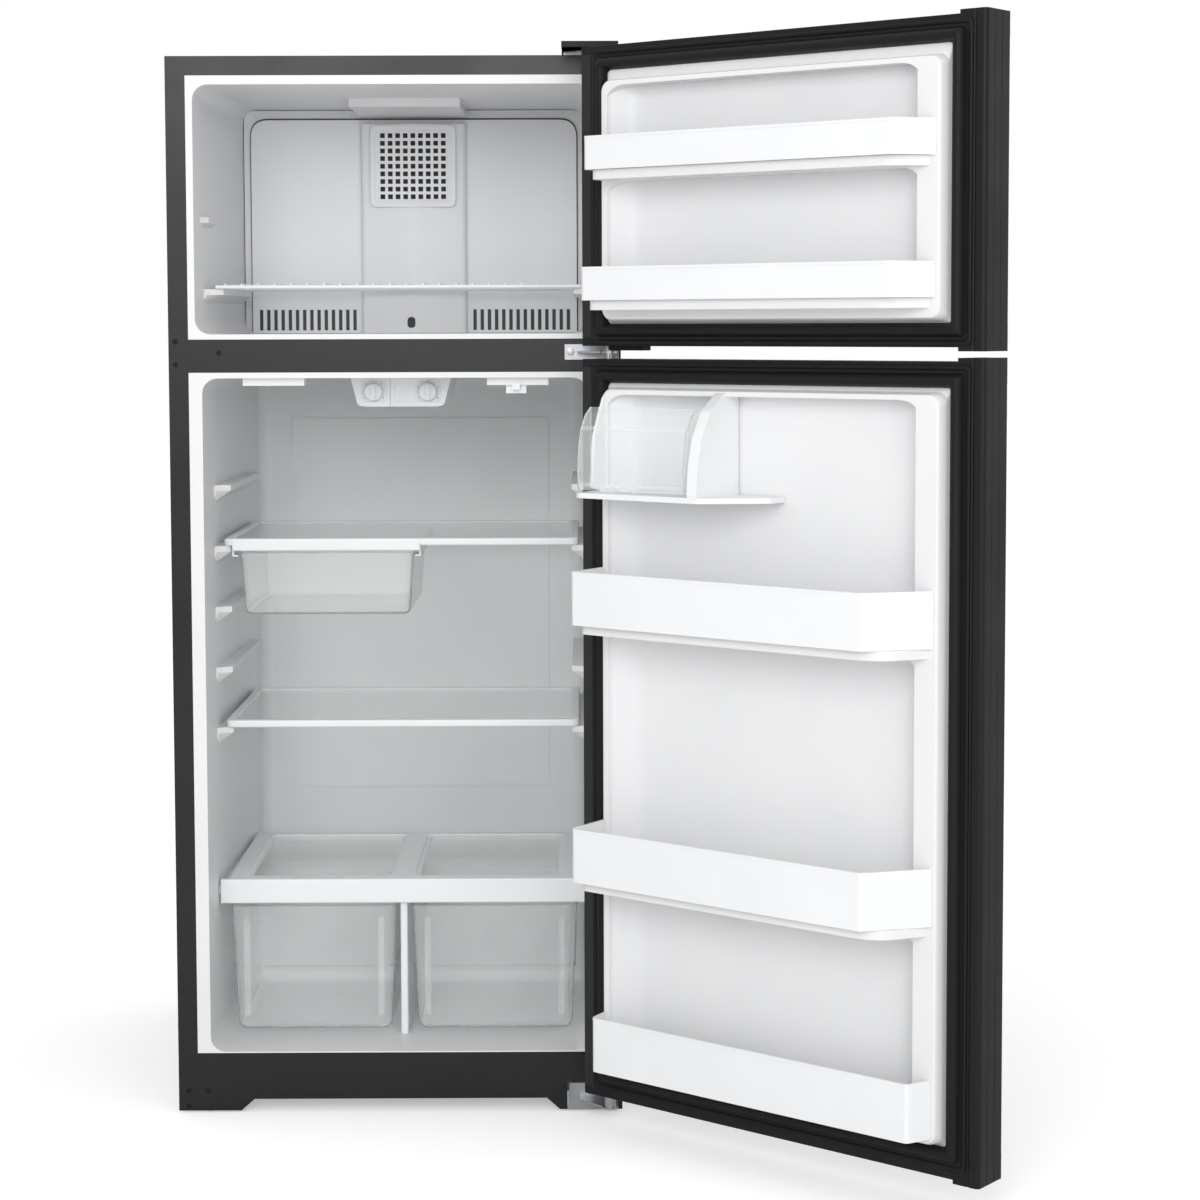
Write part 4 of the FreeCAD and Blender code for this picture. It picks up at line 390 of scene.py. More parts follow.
slot_half = (SLOT_HIGH - SLOT_LOW) / 2 + 2
for side, label in ((-1, "left"), (1, "right")):
    first = side * (DUCT_HALF + 7 + SLOT_PITCH / 2)
    cell = pierced_cell(SLOT_PITCH, 2 * slot_half, SLOT_WIDE, SLOT_HIGH - SLOT_LOW, 3, 0)
    repeat_mesh(f"return_slots_{label}", cell, (SLOT_COUNT, 1), (first, COVER_Y - 2, SLOT_LOW - 2 + slot_half),
                ((side * SLOT_PITCH, 0, 0), (0, 0, 0)), white_moulding, "root")
GRILLE_PITCH, GRILLE_HOLE, GRILLE_COUNT, GRILLE_Z = 13.2, 8.2, 9, 1532.5
reach = (GRILLE_COUNT - 1) / 2 * GRILLE_PITCH
cell = pierced_cell(GRILLE_PITCH, GRILLE_PITCH, GRILLE_HOLE, GRILLE_HOLE, 2.5, 0)
repeat_mesh("grille_screen", cell, (GRILLE_COUNT, GRILLE_COUNT), (-reach, 455.5, GRILLE_Z - reach),
            ((GRILLE_PITCH, 0, 0), (0, 0, GRILLE_PITCH)), white_moulding, "root")
frame_hole = reach + GRILLE_PITCH / 2
border = prism(bmesh.new(), arc_corners([(-74, 1462), (74, 1462), (74, 1603), (-74, 1603)], 12), 455.2, 459, "Y")
groove = prism(bmesh.new(), arc_corners([(-66, 1470), (66, 1470), (66, 1595), (-66, 1595)], 9), 450, 457, "Y")
border = carve(border, groove)
border = carve(border, block(bmesh.new(), -frame_hole, frame_hole, 440, 470, GRILLE_Z - frame_hole, GRILLE_Z + frame_hole))
make_piece("grille_frame", round_edges(border, 1.2, 2), white_moulding, "root", ("fan_grille",))
# Painted shade: a dark grey sheet inside the duct behind the grille stands for the dark space behind its holes.
shade = block(bmesh.new(), -68, 68, 470, 471, 1467, 1598)
make_piece("grille_baffle", shade, gap_shade_grey, "root")


# ---- Freezer wire shelf
# Mild-steel rods welded up and dipped in white polyester, which leaves them thick and glossy.
dipped_wire = coated("white_dipped_wire", "#e4e6e8", "#f2f3f4", (0.2, 0.3), 1.5, 0.01)
wires = NODES["freezer_shelf"]
wires.data.materials.clear()
wires.data.materials.append(dipped_wire)


# ---- Glass shelves
# Sheets of float glass moulded into white frames with a round-nosed front rail. The glass looks
# clear from above and faintly green through its edges.
def see_through(name, tint, roughness, ior, ripple_mm, relief_mm, haze):
    """A clear material with a slow ripple in its surface and a little milkiness."""
    material = bpy.data.materials.new(name)
    material.use_nodes = True
    tree = material.node_tree
    tree.nodes.clear()
    here = add_node(tree, "ShaderNodeTexCoord").outputs["Object"]
    ripple = add_node(tree, "ShaderNodeTexNoise", {"Vector": here, "Scale": 1000.0 / ripple_mm, "Detail": 1.0})
    bump = add_node(tree, "ShaderNodeBump", {"Height": ripple.outputs["Fac"], "Distance": relief_mm / 1000})
    sockets = {"Base Color": hex_colour(tint), "Roughness": roughness, "IOR": ior, "Transmission Weight": 1.0,
               "Normal": bump.outputs["Normal"]}
    clear = add_node(tree, "ShaderNodeBsdfPrincipled", sockets)
    cloud = add_node(tree, "ShaderNodeMapRange", {"Value": ripple.outputs["Fac"], "To Min": haze * 0.8, "To Max": haze * 1.2})
    milk = add_node(tree, "ShaderNodeBsdfDiffuse", {"Color": hex_colour("#f4f5f5")})
    body = add_node(tree, "ShaderNodeMixShader", {0: cloud.outputs["Result"], 1: clear.outputs[0], 2: milk.outputs[0]})
    bare = add_node(tree, "ShaderNodeBsdfTransparent", {"Color": hex_colour(tint)})
    path = add_node(tree, "ShaderNodeLightPath").outputs
    passes = add_node(tree, "ShaderNodeMath", {0: path["Is Shadow Ray"], 1: path["Is Diffuse Ray"]}, operation="MAXIMUM")
    both = add_node(tree, "ShaderNodeMixShader", {0: passes.outputs[0], 1: body.outputs[0], 2: bare.outputs[0]})
    add_node(tree, "ShaderNodeOutputMaterial", {"Surface": both.outputs[0]})
    return material


shelf_glass = see_through("tempered_glass", "#f8fbfa", 0.03, 1.3, 60.0, 0.02, 0.02)
SHELF_HALF, SHELF_FRONT, SHELF_BACK = 287.0, 100.0, 480.0
for label, top in (("upper", 913.1), ("lower", 617.0)):
    low = top - 12
    ring = prism(bmesh.new(), arc_corners([(-SHELF_HALF, SHELF_FRONT), (SHELF_HALF, SHELF_FRONT), (SHELF_HALF, SHELF_BACK),
                                           (-SHELF_HALF, SHELF_BACK)], [14, 14, 6, 6]), low, top)
    hole = prism(bmesh.new(), arc_corners([(-SHELF_HALF + 14, SHELF_FRONT + 16), (SHELF_HALF - 14, SHELF_FRONT + 16),
                                           (SHELF_HALF - 14, SHELF_BACK - 14), (-SHELF_HALF + 14, SHELF_BACK - 14)], 8),
                 low - 5, top + 5)
    ring = round_edges(carve(ring, hole), 3.0, 3)
    make_piece(f"{label}_shelf_rim", ring, white_moulding, f"{label}_shelf", (f"{label}_shelf_frame",))
    pane = prism(bmesh.new(), arc_corners([(-SHELF_HALF + 15, SHELF_FRONT + 17), (SHELF_HALF - 15, SHELF_FRONT + 17),
                                           (SHELF_HALF - 15, SHELF_BACK - 15), (-SHELF_HALF + 15, SHELF_BACK - 15)], 7),
                 top - 5.2, top - 2)
    make_piece(f"{label}_shelf_pane", pane, shelf_glass, f"{label}_shelf", (f"{label}_shelf_glass",))


# ---- Snack pan
# A clear styrene pan with drafted walls and a rolled rim, hung in white rails under the upper shelf. A
# clip-on white bar covers the rails' front ends.
clear_styrene = see_through("clear_polystyrene", "#fcfdfd", 0.08, 1.2, 40.0, 0.05, 0.14)


def rectangle(x0, x1, y0, y1, radius, z, steps=5):
    """Points of a rounded rectangle at one height."""
    ring = []
    for cx, cy, start in ((x1 - radius, y1 - radius, 0), (x0 + radius, y1 - radius, 90),
                          (x0 + radius, y0 + radius, 180), (x1 - radius, y0 + radius, 270)):
        for k in range(steps + 1):
            a = math.radians(start + 90 * k / steps)
            ring.append((cx + radius * math.cos(a), cy + radius * math.sin(a), z))
    return ring


def tray(x0, x1, y0, y1, z0, z1, wall, draft, radius, lip, foot=8.0, steps=()):
    """A moulded pan: drafted walls, soft foot, rim rolled outwards by lip, and steps in its walls."""
    def ring(inset, z):
        lean = draft * (z1 - z) / (z1 - z0)
        r = max(radius - inset - lean / 2, 2.0)
        return rectangle(x0 + inset + lean, x1 - inset - lean, y0 + inset + lean, y1 - inset - lean, r, z)

    rings = []
    for k in range(4):
        a = math.radians(90 * k / 3)
        rings.append(ring(foot * (1 - math.sin(a)), z0 + foot * (1 - math.cos(a))))
    for z, out in steps:
        rings += [ring(0, z - 1), ring(-out, z + 1), ring(-out, z + 4), ring(0, z + 6)]
    rings += [ring(0, z1 - 7), ring(0, z1 - 4), ring(-lip, z1 - 4), ring(-lip - 0.5, z1 - 2), ring(-lip, z1), ring(wall - 0.5, z1)]
    rings += [ring(wall, z1 - 1)]
    for k in range(4):
        a = math.radians(90 * k / 3)
        rings.append(ring(wall + foot * (1 - math.cos(a)), z0 + wall + foot * (1 - math.sin(a))))
    return loft(bmesh.new(), rings)


pan = tray(-262, 20, 106, 410, 788, 889, 2.5, 7, 14, 7)
make_piece("snack_pan_moulding", pan, clear_styrene, "snack_pan", ("snack_pan",))
refine("snack_pan_rails", "snack_pan_hangers", white_moulding, 0.5)
bar = prism(bmesh.new(), arc_corners([(96.5, 893), (104, 893), (104, 913.4), (96.5, 913.4)], [4, 1, 1, 5]), -272, 30, "X")
make_piece("snack_pan_front_bar", round_edges(bar, 1.5, 2), white_moulding, "upper_shelf")


# ---- Crisper cover
# A white frame with two panes, a plain deep fascia along its front, and a divider between the drawers.
cover_y = 99.0
table = prism(bmesh.new(), arc_corners([(-286, cover_y - 2), (286, cover_y - 2), (286, 480), (-286, 480)], [2, 2, 10, 10]), 345, 357)
panes = bmesh.new()
wells = bmesh.new()
for side in (-1, 1):
    x0, x1 = sorted((side * 24, side * 250))
    prism(wells, arc_corners([(x0, 130), (x1, 130), (x1, 452), (x0, 452)], 10), 340, 360)
    prism(wells, arc_corners([(x0 - 7, 122), (x1 + 7, 122), (x1 + 7, 460), (x0 - 7, 460)], 14), 354, 360)
    prism(panes, arc_corners([(x0 - 5, 124), (x1 + 5, 124), (x1 + 5, 458), (x0 - 5, 458)], 12), 350.8, 353.9)
table = round_edges(carve(table, wells), 1.5, 3)
make_piece("crisper_cover_table", table, white_moulding, "root", ("crisper_cover_frame",))
make_piece("crisper_cover_panes", panes, shelf_glass, "root", ("crisper_cover_glass",))
fascia = prism(bmesh.new(), arc_corners([(90, 318), (97, 317), (99, 345), (99, 357.2), (92, 357.2)], [3, 1, 1, 1, 6]), -297, 297, "X")
make_piece("crisper_fascia", round_edges(fascia, 2.0, 3), white_moulding, "root")
post = prism(bmesh.new(), arc_corners([(-6, 100), (6, 100), (9, 426), (-9, 426)], 4), 98.5, 345)
make_piece("crisper_divider", round_edges(post, 2.0, 2), white_moulding, "root")


# ---- Crisper drawers
# Two deep drawers in clear styrene. Their walls lean outwards a little, step once half way up, and end in
# a rolled rim; ribs on the front wall's corners catch the light.
for side, label in ((-1, "left"), (1, "right")):
    x0, x1 = sorted((side * 12.5, side * 283.0))
    drawer = tray(x0, x1, 98, 423, 104, 311, 2.6, 9, 20, 0.6, 12, [(206, 1.6)])
    for x in (x0 + 26, x1 - 26):
        rib = arc_corners([(x - 5, 103.5), (x + 5, 103.5), (x + 5, 109), (x - 5, 109)], 3)
        prism(drawer, rib, 128, 290)
    make_piece(f"crisper_{label}_moulding", drawer, clear_styrene, f"crisper_{label}", (f"crisper_{label}",))


# ---- Control housing
# A white moulded trough under the fresh-food ceiling with two dials. Its face has a shallow field round
# each dial and a parting groove, and a frosted lens below covers the lamp.
face = [(-82, 1174), (-70, 1127), (-58, 1125), (58, 1125), (70, 1127), (82, 1174)]
housing = prism(bmesh.new(), arc_corners(face, [0, 8, 0, 0, 8, 0]), 125, 335, "Y")
fields = prism(bmesh.new(), arc_corners([(-64, 1133), (-24, 1133), (-24, 1168), (-64, 1168)], 5), 120, 126, "Y")
prism(fields, arc_corners([(-10, 1133), (64, 1133), (64, 1168), (-10, 1168)], 5), 120, 126, "Y")
block(fields, -18, -16.6, 120, 127, 1120, 1180)
housing = round_edges(carve(housing, fields), 1.6, 3, above=40)
make_piece("control_housing_moulding", housing, white_moulding, "root", ("control_housing",))
frosted = see_through("frosted_acrylic", "#f4f6f6", 0.5, 1.49, 6.0, 0.2, 0.3)
lens = block(bmesh.new(), -48, 48, 228, 320, 1122, 1126)
make_piece("lamp_lens", round_edges(lens, 2.0, 3), frosted, "root", ("lamp_bulb_and_lens",))
for body, x in (("freezer_knob", -44.0), ("fresh_food_knob", 44.0)):
    dial = bmesh.new()
    rings = []
    for radius, y in ((15.0, 124.6), (15.0, 118), (14, 113), (12.5, 111.7), (3.0, 111.7)):
        rings.append([(x + radius * math.cos(t), y, 1149 + radius * math.sin(t))
                      for t in [math.radians(7.5 * k) for k in range(48)]])
    loft(dial, rings)
    grip = prism(bmesh.new(), arc_corners([(x - 3.2, 1136.5), (x + 3.2, 1136.5), (x + 2.4, 1161.5), (x - 2.4, 1161.5)], 2.2), 107, 113, "Y")
    held = bpy.data.meshes.new("grip")
    round_edges(grip, 1.0, 2).to_mesh(held)
    grip.free()
    dial.from_mesh(held)
    make_piece(f"{body}_dial", dial, white_moulding, body, (body,))
grey_print = coated("grey_screen_print", "#6f7377", "#7c8084", (0.5, 0.6), 1.0, 0.002)
for x, digits in ((-44.0, "1357"), (44.0, "13579")):
    for k, digit in enumerate(digits):
        turn = math.radians(215 - 250 * k / (len(digits) - 1))
        text = bpy.data.curves.new(f"digit_{digit}", "FONT")
        text.body, text.size, text.align_x, text.align_y = digit, 5.0, "CENTER", "CENTER"
        text.extrude = 0.05
        drawn = bpy.data.objects.new("digit", text)
        bpy.context.collection.objects.link(drawn)
        bpy.context.view_layer.update()
        shape = bmesh.new()
        shape.from_mesh(bpy.data.meshes.new_from_object(drawn.evaluated_get(bpy.context.evaluated_depsgraph_get())))
        bpy.data.objects.remove(drawn)
        bmesh.ops.transform(shape, verts=shape.verts, matrix=Matrix.Translation(
            (x + 19.0 * math.cos(turn), 125.8, 1149 + 17.5 * math.sin(turn))) @ Matrix.Rotation(math.radians(90), 4, "X"))
        side = "cold" if x < 0 else "fresh"
        make_piece(f"dial_number_{side}_{digit}", shape, grey_print, "root")


# ---- Doors
# Both doors are foamed boxes of black painted steel with plastic end caps and a plastic trim down the
# free edge. They are drawn shut and then swung open about their hinge pins to where they stand.
DOOR_GAP, PIVOT, OPEN = 18.0, Vector((335.0, -57.0, 0.0)), math.radians(141.0)
SWUNG = CASE @ Matrix.Translation(PIVOT) @ Matrix.Rotation(OPEN, 4, "Z") @ Matrix.Translation(-PIVOT)
black_plastic = coated("black_polypropylene", "#0c0c0d", "#131314", (0.42, 0.55), 1.0, 0.02, Specular_IOR_Level=0.3)
gasket_vinyl = coated("black_gasket_vinyl", "#0f0f10", "#161617", (0.45, 0.6), 1.5, 0.02, Specular_IOR_Level=0.25)
DOORS = {"freezer": (1224.0, 1680.0, 1227.0, 1673.0, 1630.0), "fresh_food": (52.0, 1204.0, 66.0, 1199.0, 1165.0)}
SHELVES = {"freezer": ((1487.5, 66.0), (1292.5, 74.0)), "fresh_food": ((805.7, 96.0), (414.7, 96.0), (122.0, 50.0))}
BARS = {"freezer": ((1488, 1538, 76, 40), (1293, 1343, 84, 40)),
        "fresh_food": ((806, 887, 110, 64), (415, 497, 110, 64), (112, 196, 62, 16))}


def door_point(u, n, z=None):
    """A point of a shut door: u from its hinged edge, n from its inner rim towards its front."""
    return (CASE_HALF - u, -DOOR_GAP - n) if z is None else (CASE_HALF - u, -DOOR_GAP - n, z)


def door_block(shape, u0, u1, n0, n1, z0, z1):
    return block(shape, CASE_HALF - u1, CASE_HALF - u0, -DOOR_GAP - n1, -DOOR_GAP - n0, z0, z1)


def door_ring(inset, n, z0, z1, radius, u0=51.0, u1=659.0, steps=6):
    ring = rectangle(u0 + inset, u1 - inset, z0 + inset, z1 - inset, max(radius, 0.5), n, steps)
    return [door_point(u, depth, z) for u, z, depth in ring]


for door, (low, high, seal_low, seal_high, dike_high) in DOORS.items():
    body = f"{door}_door"
    refine(f"{body}_skin", f"{body}_panel", black_enamel, 1.2)
    refine(f"{body}_end_caps", f"{body}_caps", black_plastic, 0.8)
    # Trim: a fluted extrusion, rounded on its free edge, with a finger groove open to the front.
    outline = arc_corners([(668, 2), (668, 0.2), (690, 0.2), (692, 2.0), (694, 0.0), (710, 0.0), (710, 22), (709, 23),
                           (710, 24), (710, 41), (709, 42), (710, 43), (710, 65), (702, 65), (702, 39), (678, 39),
                           (678, 65), (668, 65)], [0, 0, 1, 1, 1, 10.5, 0, 0, 0, 0, 0, 0, 10.5, 2, 3, 3, 2, 1], 5)
    trim = prism(bmesh.new(), [door_point(u, n) for u, n in outline], low - 5.5, high + 5.5)
    door_block(trim, 669, 709, 38, 64.6, low - 5.4, low + 30)
    door_block(trim, 669, 709, 38, 64.6, high - 30, high + 5.4)
    make_piece(f"{body}_trim", round_edges(trim, 0.8, 2, above=60), black_plastic, body, (f"{body}_handle_trim",),
               SWUNG)
    # Gasket: an extruded vinyl section with a magnet bulb beside the liner and a flat outer wing.
    section = [(0, 0.2), (0, -3.4), (1.5, -4.6), (4, -4.6), (5.5, -3.4), (7, -2), (11, -2), (12.5, -5), (14, -9), (17, -12),
               (21, -13.4), (25, -12.6), (28, -9.5), (29.6, -5), (31, -2.5), (31, 0.2)]
    rings = [door_ring(a, n, seal_low, seal_high, 6 - a * 0.1, 20.0, 690.0, 2) for a, n in section]
    make_piece(f"{body}_seal", loft(bmesh.new(), rings, closed=True), gasket_vinyl, body, (f"{body}_gasket",),
               SWUNG)
    # Liner: a drawn white sheet. Its raised border meets the food compartment; shelves stand out of it,
    # and the hollows between them have wide soft corners.
    z0, z1 = seal_low + 31, seal_high - 31
    top_cut = (z1 - dike_high)
    path = [(0, 13, 8), (0, 0, 8), (1.5, -1, 8), (3.5, -6, 14), (5, -19, 16), (7, -23.5, 16), (11, -25, 16)]
    rings = []
    for inset, n, radius in path:
        ring = rectangle(51 + inset, 659 - inset, z0 + inset, z1 - inset - (top_cut if inset > 3 else 0), radius, n, 6)
        rings.append([door_point(u, depth, z) for u, z, depth in ring])
    base = loft(bmesh.new(), rings)
    tools = bmesh.new()
    shelves = SHELVES[door]
    tops = [dike_high - 14] + [top - 15 for top, out in shelves[:-1]]
    for (shelf_top, out), ceiling in zip(shelves, tops):
        hollow = [door_point(u, n) for u, n in arc_corners([(68, -200), (70, -20), (96, 12), (590, 12), (616, -20),
                                                            (622, -200)], [0, 12, 50, 60, 12, 0], 8)]
        well = prism(bmesh.new(), hollow, shelf_top, ceiling)
        ends = bmesh.new()
        profile = arc_corners([(-300, shelf_top - 1), (16, shelf_top - 1), (16, ceiling + 1), (-300, ceiling + 1)], 0)
        corner = arc_corners([(64, shelf_top), (626, shelf_top), (626, ceiling), (64, ceiling)], [10, 10, 40, 40], 8)
        prism(ends, [(CASE_HALF - u, z) for u, z in corner], -DOOR_GAP - 14, -DOOR_GAP + 300, "Y")
        well = carve(well, ends, "INTERSECT")
        held = bpy.data.meshes.new("well")
        well.to_mesh(held)
        well.free()
        tools.from_mesh(held)
    body_shape = carve(base, tools)
    for shelf_top, out in shelves:
        nose = arc_corners([(62, 10), (62, -22), (70, -out), (600, -out), (640, -22), (640, 10)], [0, 10, 16, 60, 20, 0], 8)
        ledge = prism(bmesh.new(), [door_point(u, n) for u, n in nose], shelf_top - 14, shelf_top)
        round_edges(ledge, 4.5, 4)
        held = bpy.data.meshes.new("ledge")
        ledge.to_mesh(held)
        ledge.free()
        body_shape.from_mesh(held)
    round_edges(body_shape, 4.0, 3, above=38, where=lambda e: all(-DOOR_GAP + 20 < v.co.y < -DOOR_GAP + 27 for v in e.verts))
    make_piece(f"{body}_moulded_liner", body_shape, white_liner, body, (f"{body}_liner", f"{body}_foam"), SWUNG)
    # Bars: plain white mouldings that clip to the border; their ends slant back to it.
    held = bmesh.new()
    for bar_low, bar_high, out, foot in BARS[door]:
        u0, u1, wall, near = 58.0, 646.0, 2.6, 6.0
        outer = [(u0, -25.4), (u0 + near, -out), (u1 - foot, -out), (u1, -25.4)]
        inner = [(u1 - wall * 1.5, -25.4), (u1 - foot - wall, -out + wall), (u0 + near + wall, -out + wall), (u0 + wall * 1.5, -25.4)]
        outline = arc_corners(outer + inner, [0, 9, 9, 0, 0, 7, 7, 0], 5)
        strip = prism(bmesh.new(), [door_point(u, n) for u, n in outline], bar_low, bar_high)
        round_edges(strip, 1.1, 2, above=50)
        lip = arc_corners([(p[0], p[1] - 0.8 if p[1] < -30 else p[1]) for p in outer] +
                          [(p[0], p[1] + 0.8 if p[1] < -30 else p[1]) for p in inner], [0, 9, 9, 0, 0, 7, 7, 0], 5)
        prism(strip, [door_point(u, n) for u, n in lip], bar_high - 4, bar_high - 0.5)
        kept = bpy.data.meshes.new("bar")
        strip.to_mesh(kept)
        strip.free()
        held.from_mesh(kept)
    make_piece(f"{body}_bar_mouldings", held, white_moulding, body, (f"{body}_bars",), SWUNG)


# ---- Dairy compartment
# A white moulded shelf and curved end frame on the fresh-food door with a clear box between them, and a
# clear quarter-round lid that lifts on two pins at its top edge.
DAIRY_LOW, DAIRY_HIGH = 1006.0, 1136.0
frame_side = [(10, 996), (-50, 996), (-95, 997), (-97, 1010), (-94, 1050), (-84, 1092), (-62, 1130), (-26, 1156), (10, 1156)]
end_frame = prism(bmesh.new(), [(-DOOR_GAP - n, z) for n, z in arc_corners(frame_side, [0, 0, 8, 8, 20, 20, 20, 10, 0], 5)],
                  CASE_HALF - 290, CASE_HALF - 272, "X")
round_edges(end_frame, 3.0, 3)
shelf = arc_corners([(58, 10), (58, -88), (70, -96), (290, -96), (372, -26), (372, 10)], [0, 6, 6, 20, 10, 0], 6)
prism(end_frame, [door_point(u, n) for u, n in shelf], 997, 1005)
near = arc_corners([(10, 1004), (-30, 1004), (-58, 1010), (-50, 1090), (-26, 1150), (10, 1150)], [0, 0, 10, 30, 10, 0], 5)
prism(end_frame, [(-DOOR_GAP - n, z) for n, z in near], CASE_HALF - 66, CASE_HALF - 60, "X")
make_piece("dairy_frame", round_edges(end_frame, 1.5, 2, above=60), white_moulding, "fresh_food_door", place=SWUNG)
box_section = [(-61.5, 1007), (11, 1007), (11, 1136), (8, 1136), (8, 1010), (-61.5, 1010)]
box_shape = prism(bmesh.new(), [(-DOOR_GAP - n, z) for n, z in box_section], CASE_HALF - 267, CASE_HALF - 85, "X")
make_piece("dairy_tray", round_edges(box_shape, 0.8, 2), clear_styrene, "fresh_food_door", ("dairy_box",), SWUNG)
outer = [(-63, 1133), (-76, 1122), (-87, 1100), (-92.5, 1070), (-94, 1040), (-94, 1009)]
inner = [(n + 2.4 * c, z - 2.4 * s) for (n, z), (c, s) in zip(outer, ((0, 1), (0.6, 0.7), (0.85, 0.5), (1, 0.2), (1, 0), (1, 0)))]
lid = prism(bmesh.new(), [(-DOOR_GAP - n, z) for n, z in outer + inner[::-1]], CASE_HALF - 266.5, CASE_HALF - 66.5, "X")
for u in (66.5, 264.1):
    cheek = [(-63, 1133)] + outer[1:] + [(-63, 1009)]
    prism(lid, [(-DOOR_GAP - n, z) for n, z in cheek], CASE_HALF - u - 2.4, CASE_HALF - u, "X")
for z, n in ((1102.0, -86.5), (1018.0, -94.0)):
    prism(lid, arc_corners([(-DOOR_GAP - n + 1, z - 3), (-DOOR_GAP - n + 4, z - 3), (-DOOR_GAP - n + 4, z + 3), (-DOOR_GAP - n + 1, z + 3)], 1),
          CASE_HALF - 262, CASE_HALF - 72, "X")
make_piece("dairy_lid_moulding", round_edges(lid, 0.7, 2, above=50), clear_styrene, "dairy_lid", ("dairy_lid",), SWUNG)


# ---- Hinges
# Zinc-plated steel brackets: bright, slightly milky, with fine rolling marks. The upper one is under a
# black cover, and black plugs close the spare screw holes on the other side.
zinc_plate = coated("zinc_plated_steel", "#a9adb1", "#c6c9cc", (0.25, 0.4), 0.8, 0.01, Metallic=1.0)
refine("hinges", "hinge_brackets", zinc_plate, 0.6)
refine("top_hinge_cover", "top_hinge_cap", black_plastic, 2.0, segments=3)
SPOTS = [(344, 1196), (344, 1232), (276, 1214), (339, 10), (339, 35), (308, 35)]


def turned(profile, centre, axis_y=-1.0, sides=16):
    """A small turned head: (radius, height) steps standing off the cabinet's front."""
    rings = []
    for radius, height in profile:
        rings.append([(centre[0] + radius * math.cos(t), centre[1] + axis_y * height, centre[2] + radius * math.sin(t))
                      for t in [math.radians(360 * k / sides) for k in range(sides)]])
    return rings


plugs = bmesh.new()
for x, z in SPOTS:
    loft(plugs, turned([(4, 0), (4, 0.7), (3.2, 1.2), (2.4, 1.2), (2.0, 0.5)], (-x, 0, z)))
make_piece("hole_plugs", plugs, black_plastic, "root")
screws = bmesh.new()
for x, z in SPOTS:
    loft(screws, turned([(6, 0), (6, 1.0), (5.2, 1.2), (4.6, 1.3)], (x, -3, z)))
    loft(screws, turned([(4.5, 0), (4.5, 2.7), (4, 3)], (x, -3.5, z), sides=6))
for x, y in ((297, 16), (327, 16), (297, 44), (327, 44)):
    loft(screws, [[(x + r * math.cos(t), y + r * math.sin(t), 1679 + h) for t in [math.radians(60 * k) for k in range(6)]]
                  for r, h in ((4.5, 0), (4.5, 2.7), (4, 3))])
make_piece("hinge_screws", screws, zinc_plate, "root", ("hinge_screws_and_plugs",))


# ---- Back, base and the works inside
# Galvanised sheet with its crystal spangle, foam, tube and fin coils, black enamelled motors and can,
# a fibre-board cover, and small mouldings. These are the machine's own plain parts.
galvanised = coated("galvanised_sheet", "#8f959a", "#b4babd", (0.35, 0.5), 9.0, 0.01, Metallic=1.0)
foam_skin = coated("polyurethane_foam", "#d9c48e", "#e6d6a8", (0.8, 0.9), 2.0, 0.3)
bare_aluminium = coated("mill_finish_aluminium", "#b5b8bb", "#cfd1d3", (0.3, 0.42), 1.2, 0.01, Metallic=1.0)
can_enamel = coated("black_can_enamel", "#101011", "#1a1a1b", (0.3, 0.4), 3.0, 0.03)
fibre_board = coated("pressed_fibre_board", "#4a4038", "#5d5148", (0.75, 0.9), 1.5, 0.1)
moulded_rubber = coated("moulded_rubber", "#151515", "#1d1d1d", (0.6, 0.75), 1.0, 0.02)
FINISHES = {
    galvanised: ("rear_panel", "bottom_sheet", "base_frame"), foam_skin: ("cabinet_foam",),
    bare_aluminium: ("evaporator",), can_enamel: ("compressor", "condenser", "fan_motors"), fibre_board: ("machine_cover",),
    moulded_rubber: ("power_cord_gland",), white_moulding: ("control_units", "door_switch_plunger"),
    black_plastic: ("evaporator_fan_blade", "condenser_fan_blade", "drain_pan", "left_rear_roller", "right_rear_roller"),
    zinc_plate: ("left_levelling_leg", "right_levelling_leg")}
for finish, names in FINISHES.items():
    for name in names:
        NODES[name].data.materials.clear()
        NODES[name].data.materials.append(finish)


# ---- Floor, light and camera
# A pale studio: a white sweep, one broad soft light from the upper left, a weaker one from the right, and
# an even white surround that the gloss of the paint and the clear parts show.
floor_shape = block(bmesh.new(), -30, 30, -30, 30, -0.02, -0.0005)
floor_mesh = bpy.data.meshes.new("studio_floor")
floor_shape.to_mesh(floor_mesh)
floor = bpy.data.objects.new("studio_floor", floor_mesh)
bpy.context.collection.objects.link(floor)
paper = bpy.data.materials.new("white_paper_sweep")
paper.use_nodes = True
tree = paper.node_tree
tree.nodes.clear()
seen = add_node(tree, "ShaderNodeLightPath")
matt = add_node(tree, "ShaderNodeBsdfDiffuse", {"Color": hex_colour("#e6e6e6")})
glow = add_node(tree, "ShaderNodeEmission", {"Color": (1, 1, 1, 1), "Strength": 0.4})
both = add_node(tree, "ShaderNodeAddShader", {0: matt.outputs[0], 1: glow.outputs[0]})
pick = add_node(tree, "ShaderNodeMixShader", {0: seen.outputs["Is Camera Ray"], 1: matt.outputs[0], 2: both.outputs[0]})
add_node(tree, "ShaderNodeOutputMaterial", {"Surface": pick.outputs[0]})
floor_mesh.materials.append(paper)

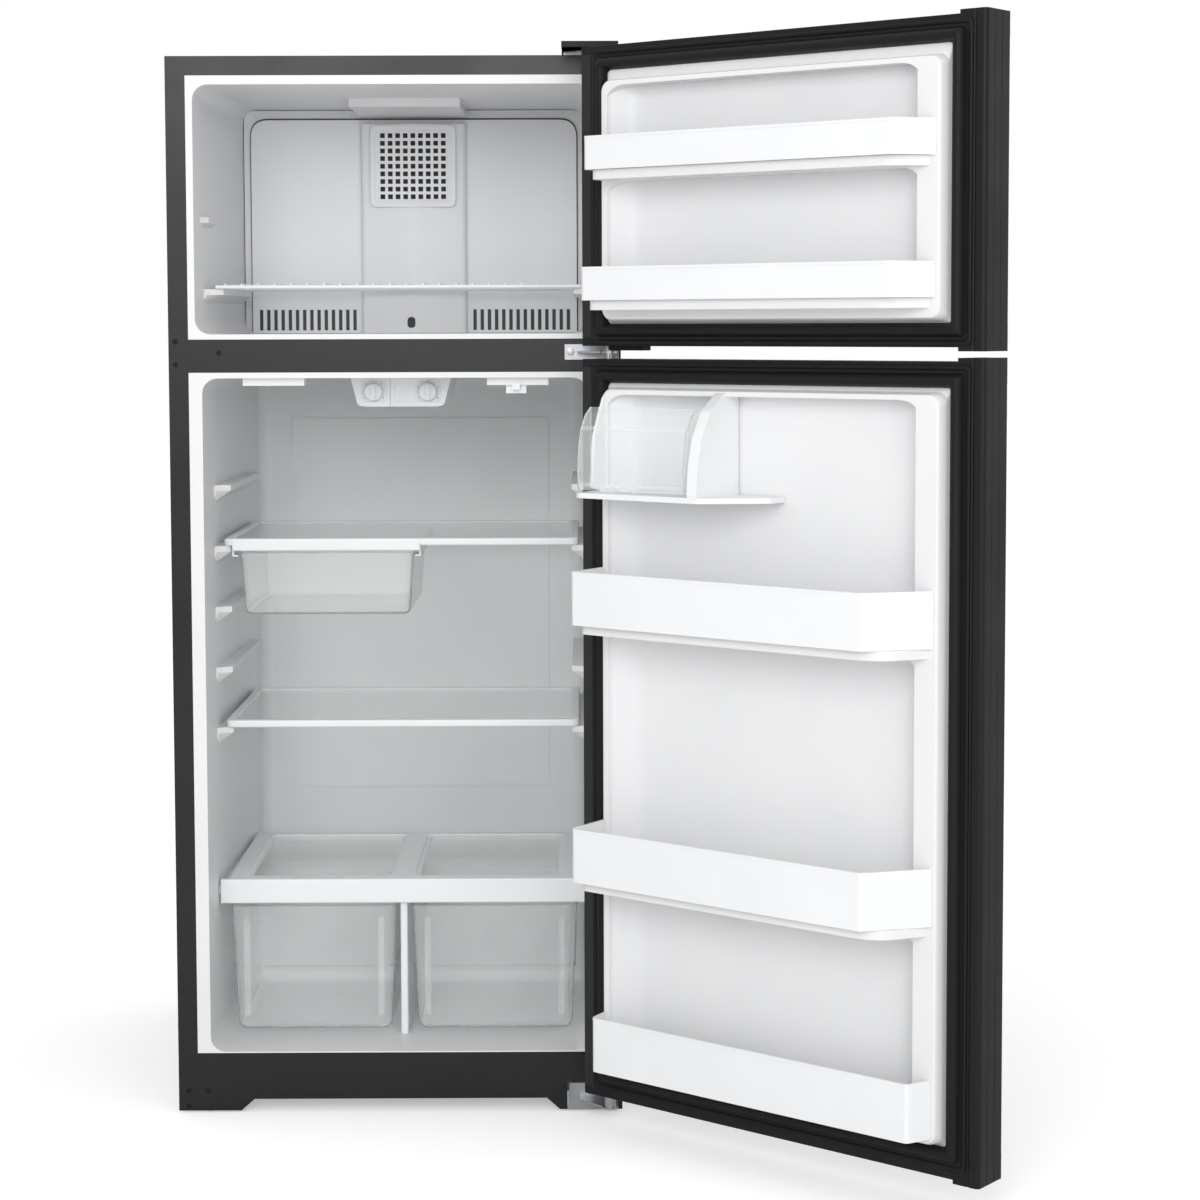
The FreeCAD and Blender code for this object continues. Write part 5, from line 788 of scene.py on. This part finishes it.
world = bpy.data.worlds.new("studio_surround")
bpy.context.scene.world = world
world.use_nodes = True
tree = world.node_tree
tree.nodes.clear()
seen = add_node(tree, "ShaderNodeLightPath")
shown = add_node(tree, "ShaderNodeMath", {0: seen.outputs["Is Camera Ray"], 1: seen.outputs["Is Glossy Ray"]}, operation="MAXIMUM")
shown = add_node(tree, "ShaderNodeMath", {0: shown.outputs[0], 1: seen.outputs["Is Transmission Ray"]}, operation="MAXIMUM")
lit = add_node(tree, "ShaderNodeBackground", {"Color": (1, 1, 1, 1), "Strength": 0.82})
toward = add_node(tree, "ShaderNodeSeparateXYZ", {0: add_node(tree, "ShaderNodeTexCoord").outputs["Generated"]})
studio = add_node(tree, "ShaderNodeMapRange", {"Value": toward.outputs["Y"], "From Min": -0.9, "From Max": 0.1,
                                               "To Min": 0.22, "To Max": 1.0})
white = add_node(tree, "ShaderNodeBackground", {"Color": (1, 1, 1, 1), "Strength": studio.outputs["Result"]})
pick = add_node(tree, "ShaderNodeMixShader", {0: shown.outputs[0], 1: lit.outputs[0], 2: white.outputs[0]})
add_node(tree, "ShaderNodeOutputWorld", {"Surface": pick.outputs[0]})


def soft_light(name, place, target, size, power):
    light = bpy.data.lights.new(name, "AREA")
    light.shape, light.size, light.energy = "DISK", size, power
    lamp = bpy.data.objects.new(name, light)
    bpy.context.collection.objects.link(lamp)
    lamp.location = place
    lamp.rotation_euler = (Vector(target) - Vector(place)).to_track_quat("-Z", "Y").to_euler()


soft_light("key_softbox", (-0.6, -4.6, 2.6), (-0.1, 0.2, 0.8), 2.4, 72)
soft_light("fill_softbox", (1.8, -4.4, 1.2), (-0.2, 0.3, 0.9), 2.0, 26)

view = bpy.data.cameras.new("camera")
view.sensor_width = 36.0
view.lens = 2567.7 / 1200 * 36
view.shift_x, view.shift_y = 0.0, (500 - 600) / 1200
view.clip_end = 100
yaw, pitch, roll = (math.radians(a) for a in (0.219, -3.91, 0.165))
ahead = Vector((math.sin(yaw) * math.cos(pitch), math.cos(yaw) * math.cos(pitch), math.sin(pitch)))
across = Vector((math.cos(yaw), -math.sin(yaw), 0.0))
down = ahead.cross(across)
right = across * math.cos(roll) + down * math.sin(roll)
below = down * math.cos(roll) - across * math.sin(roll)
turn = Matrix((right, -below, -ahead)).transposed().to_4x4()
camera = bpy.data.objects.new("camera", view)
camera.matrix_world = Matrix.Translation(CASE @ Vector((306.3, -4039.5, 1256.9))) @ turn
bpy.context.collection.objects.link(camera)
bpy.context.scene.camera = camera
bpy.context.scene.view_settings.view_transform = "Standard"
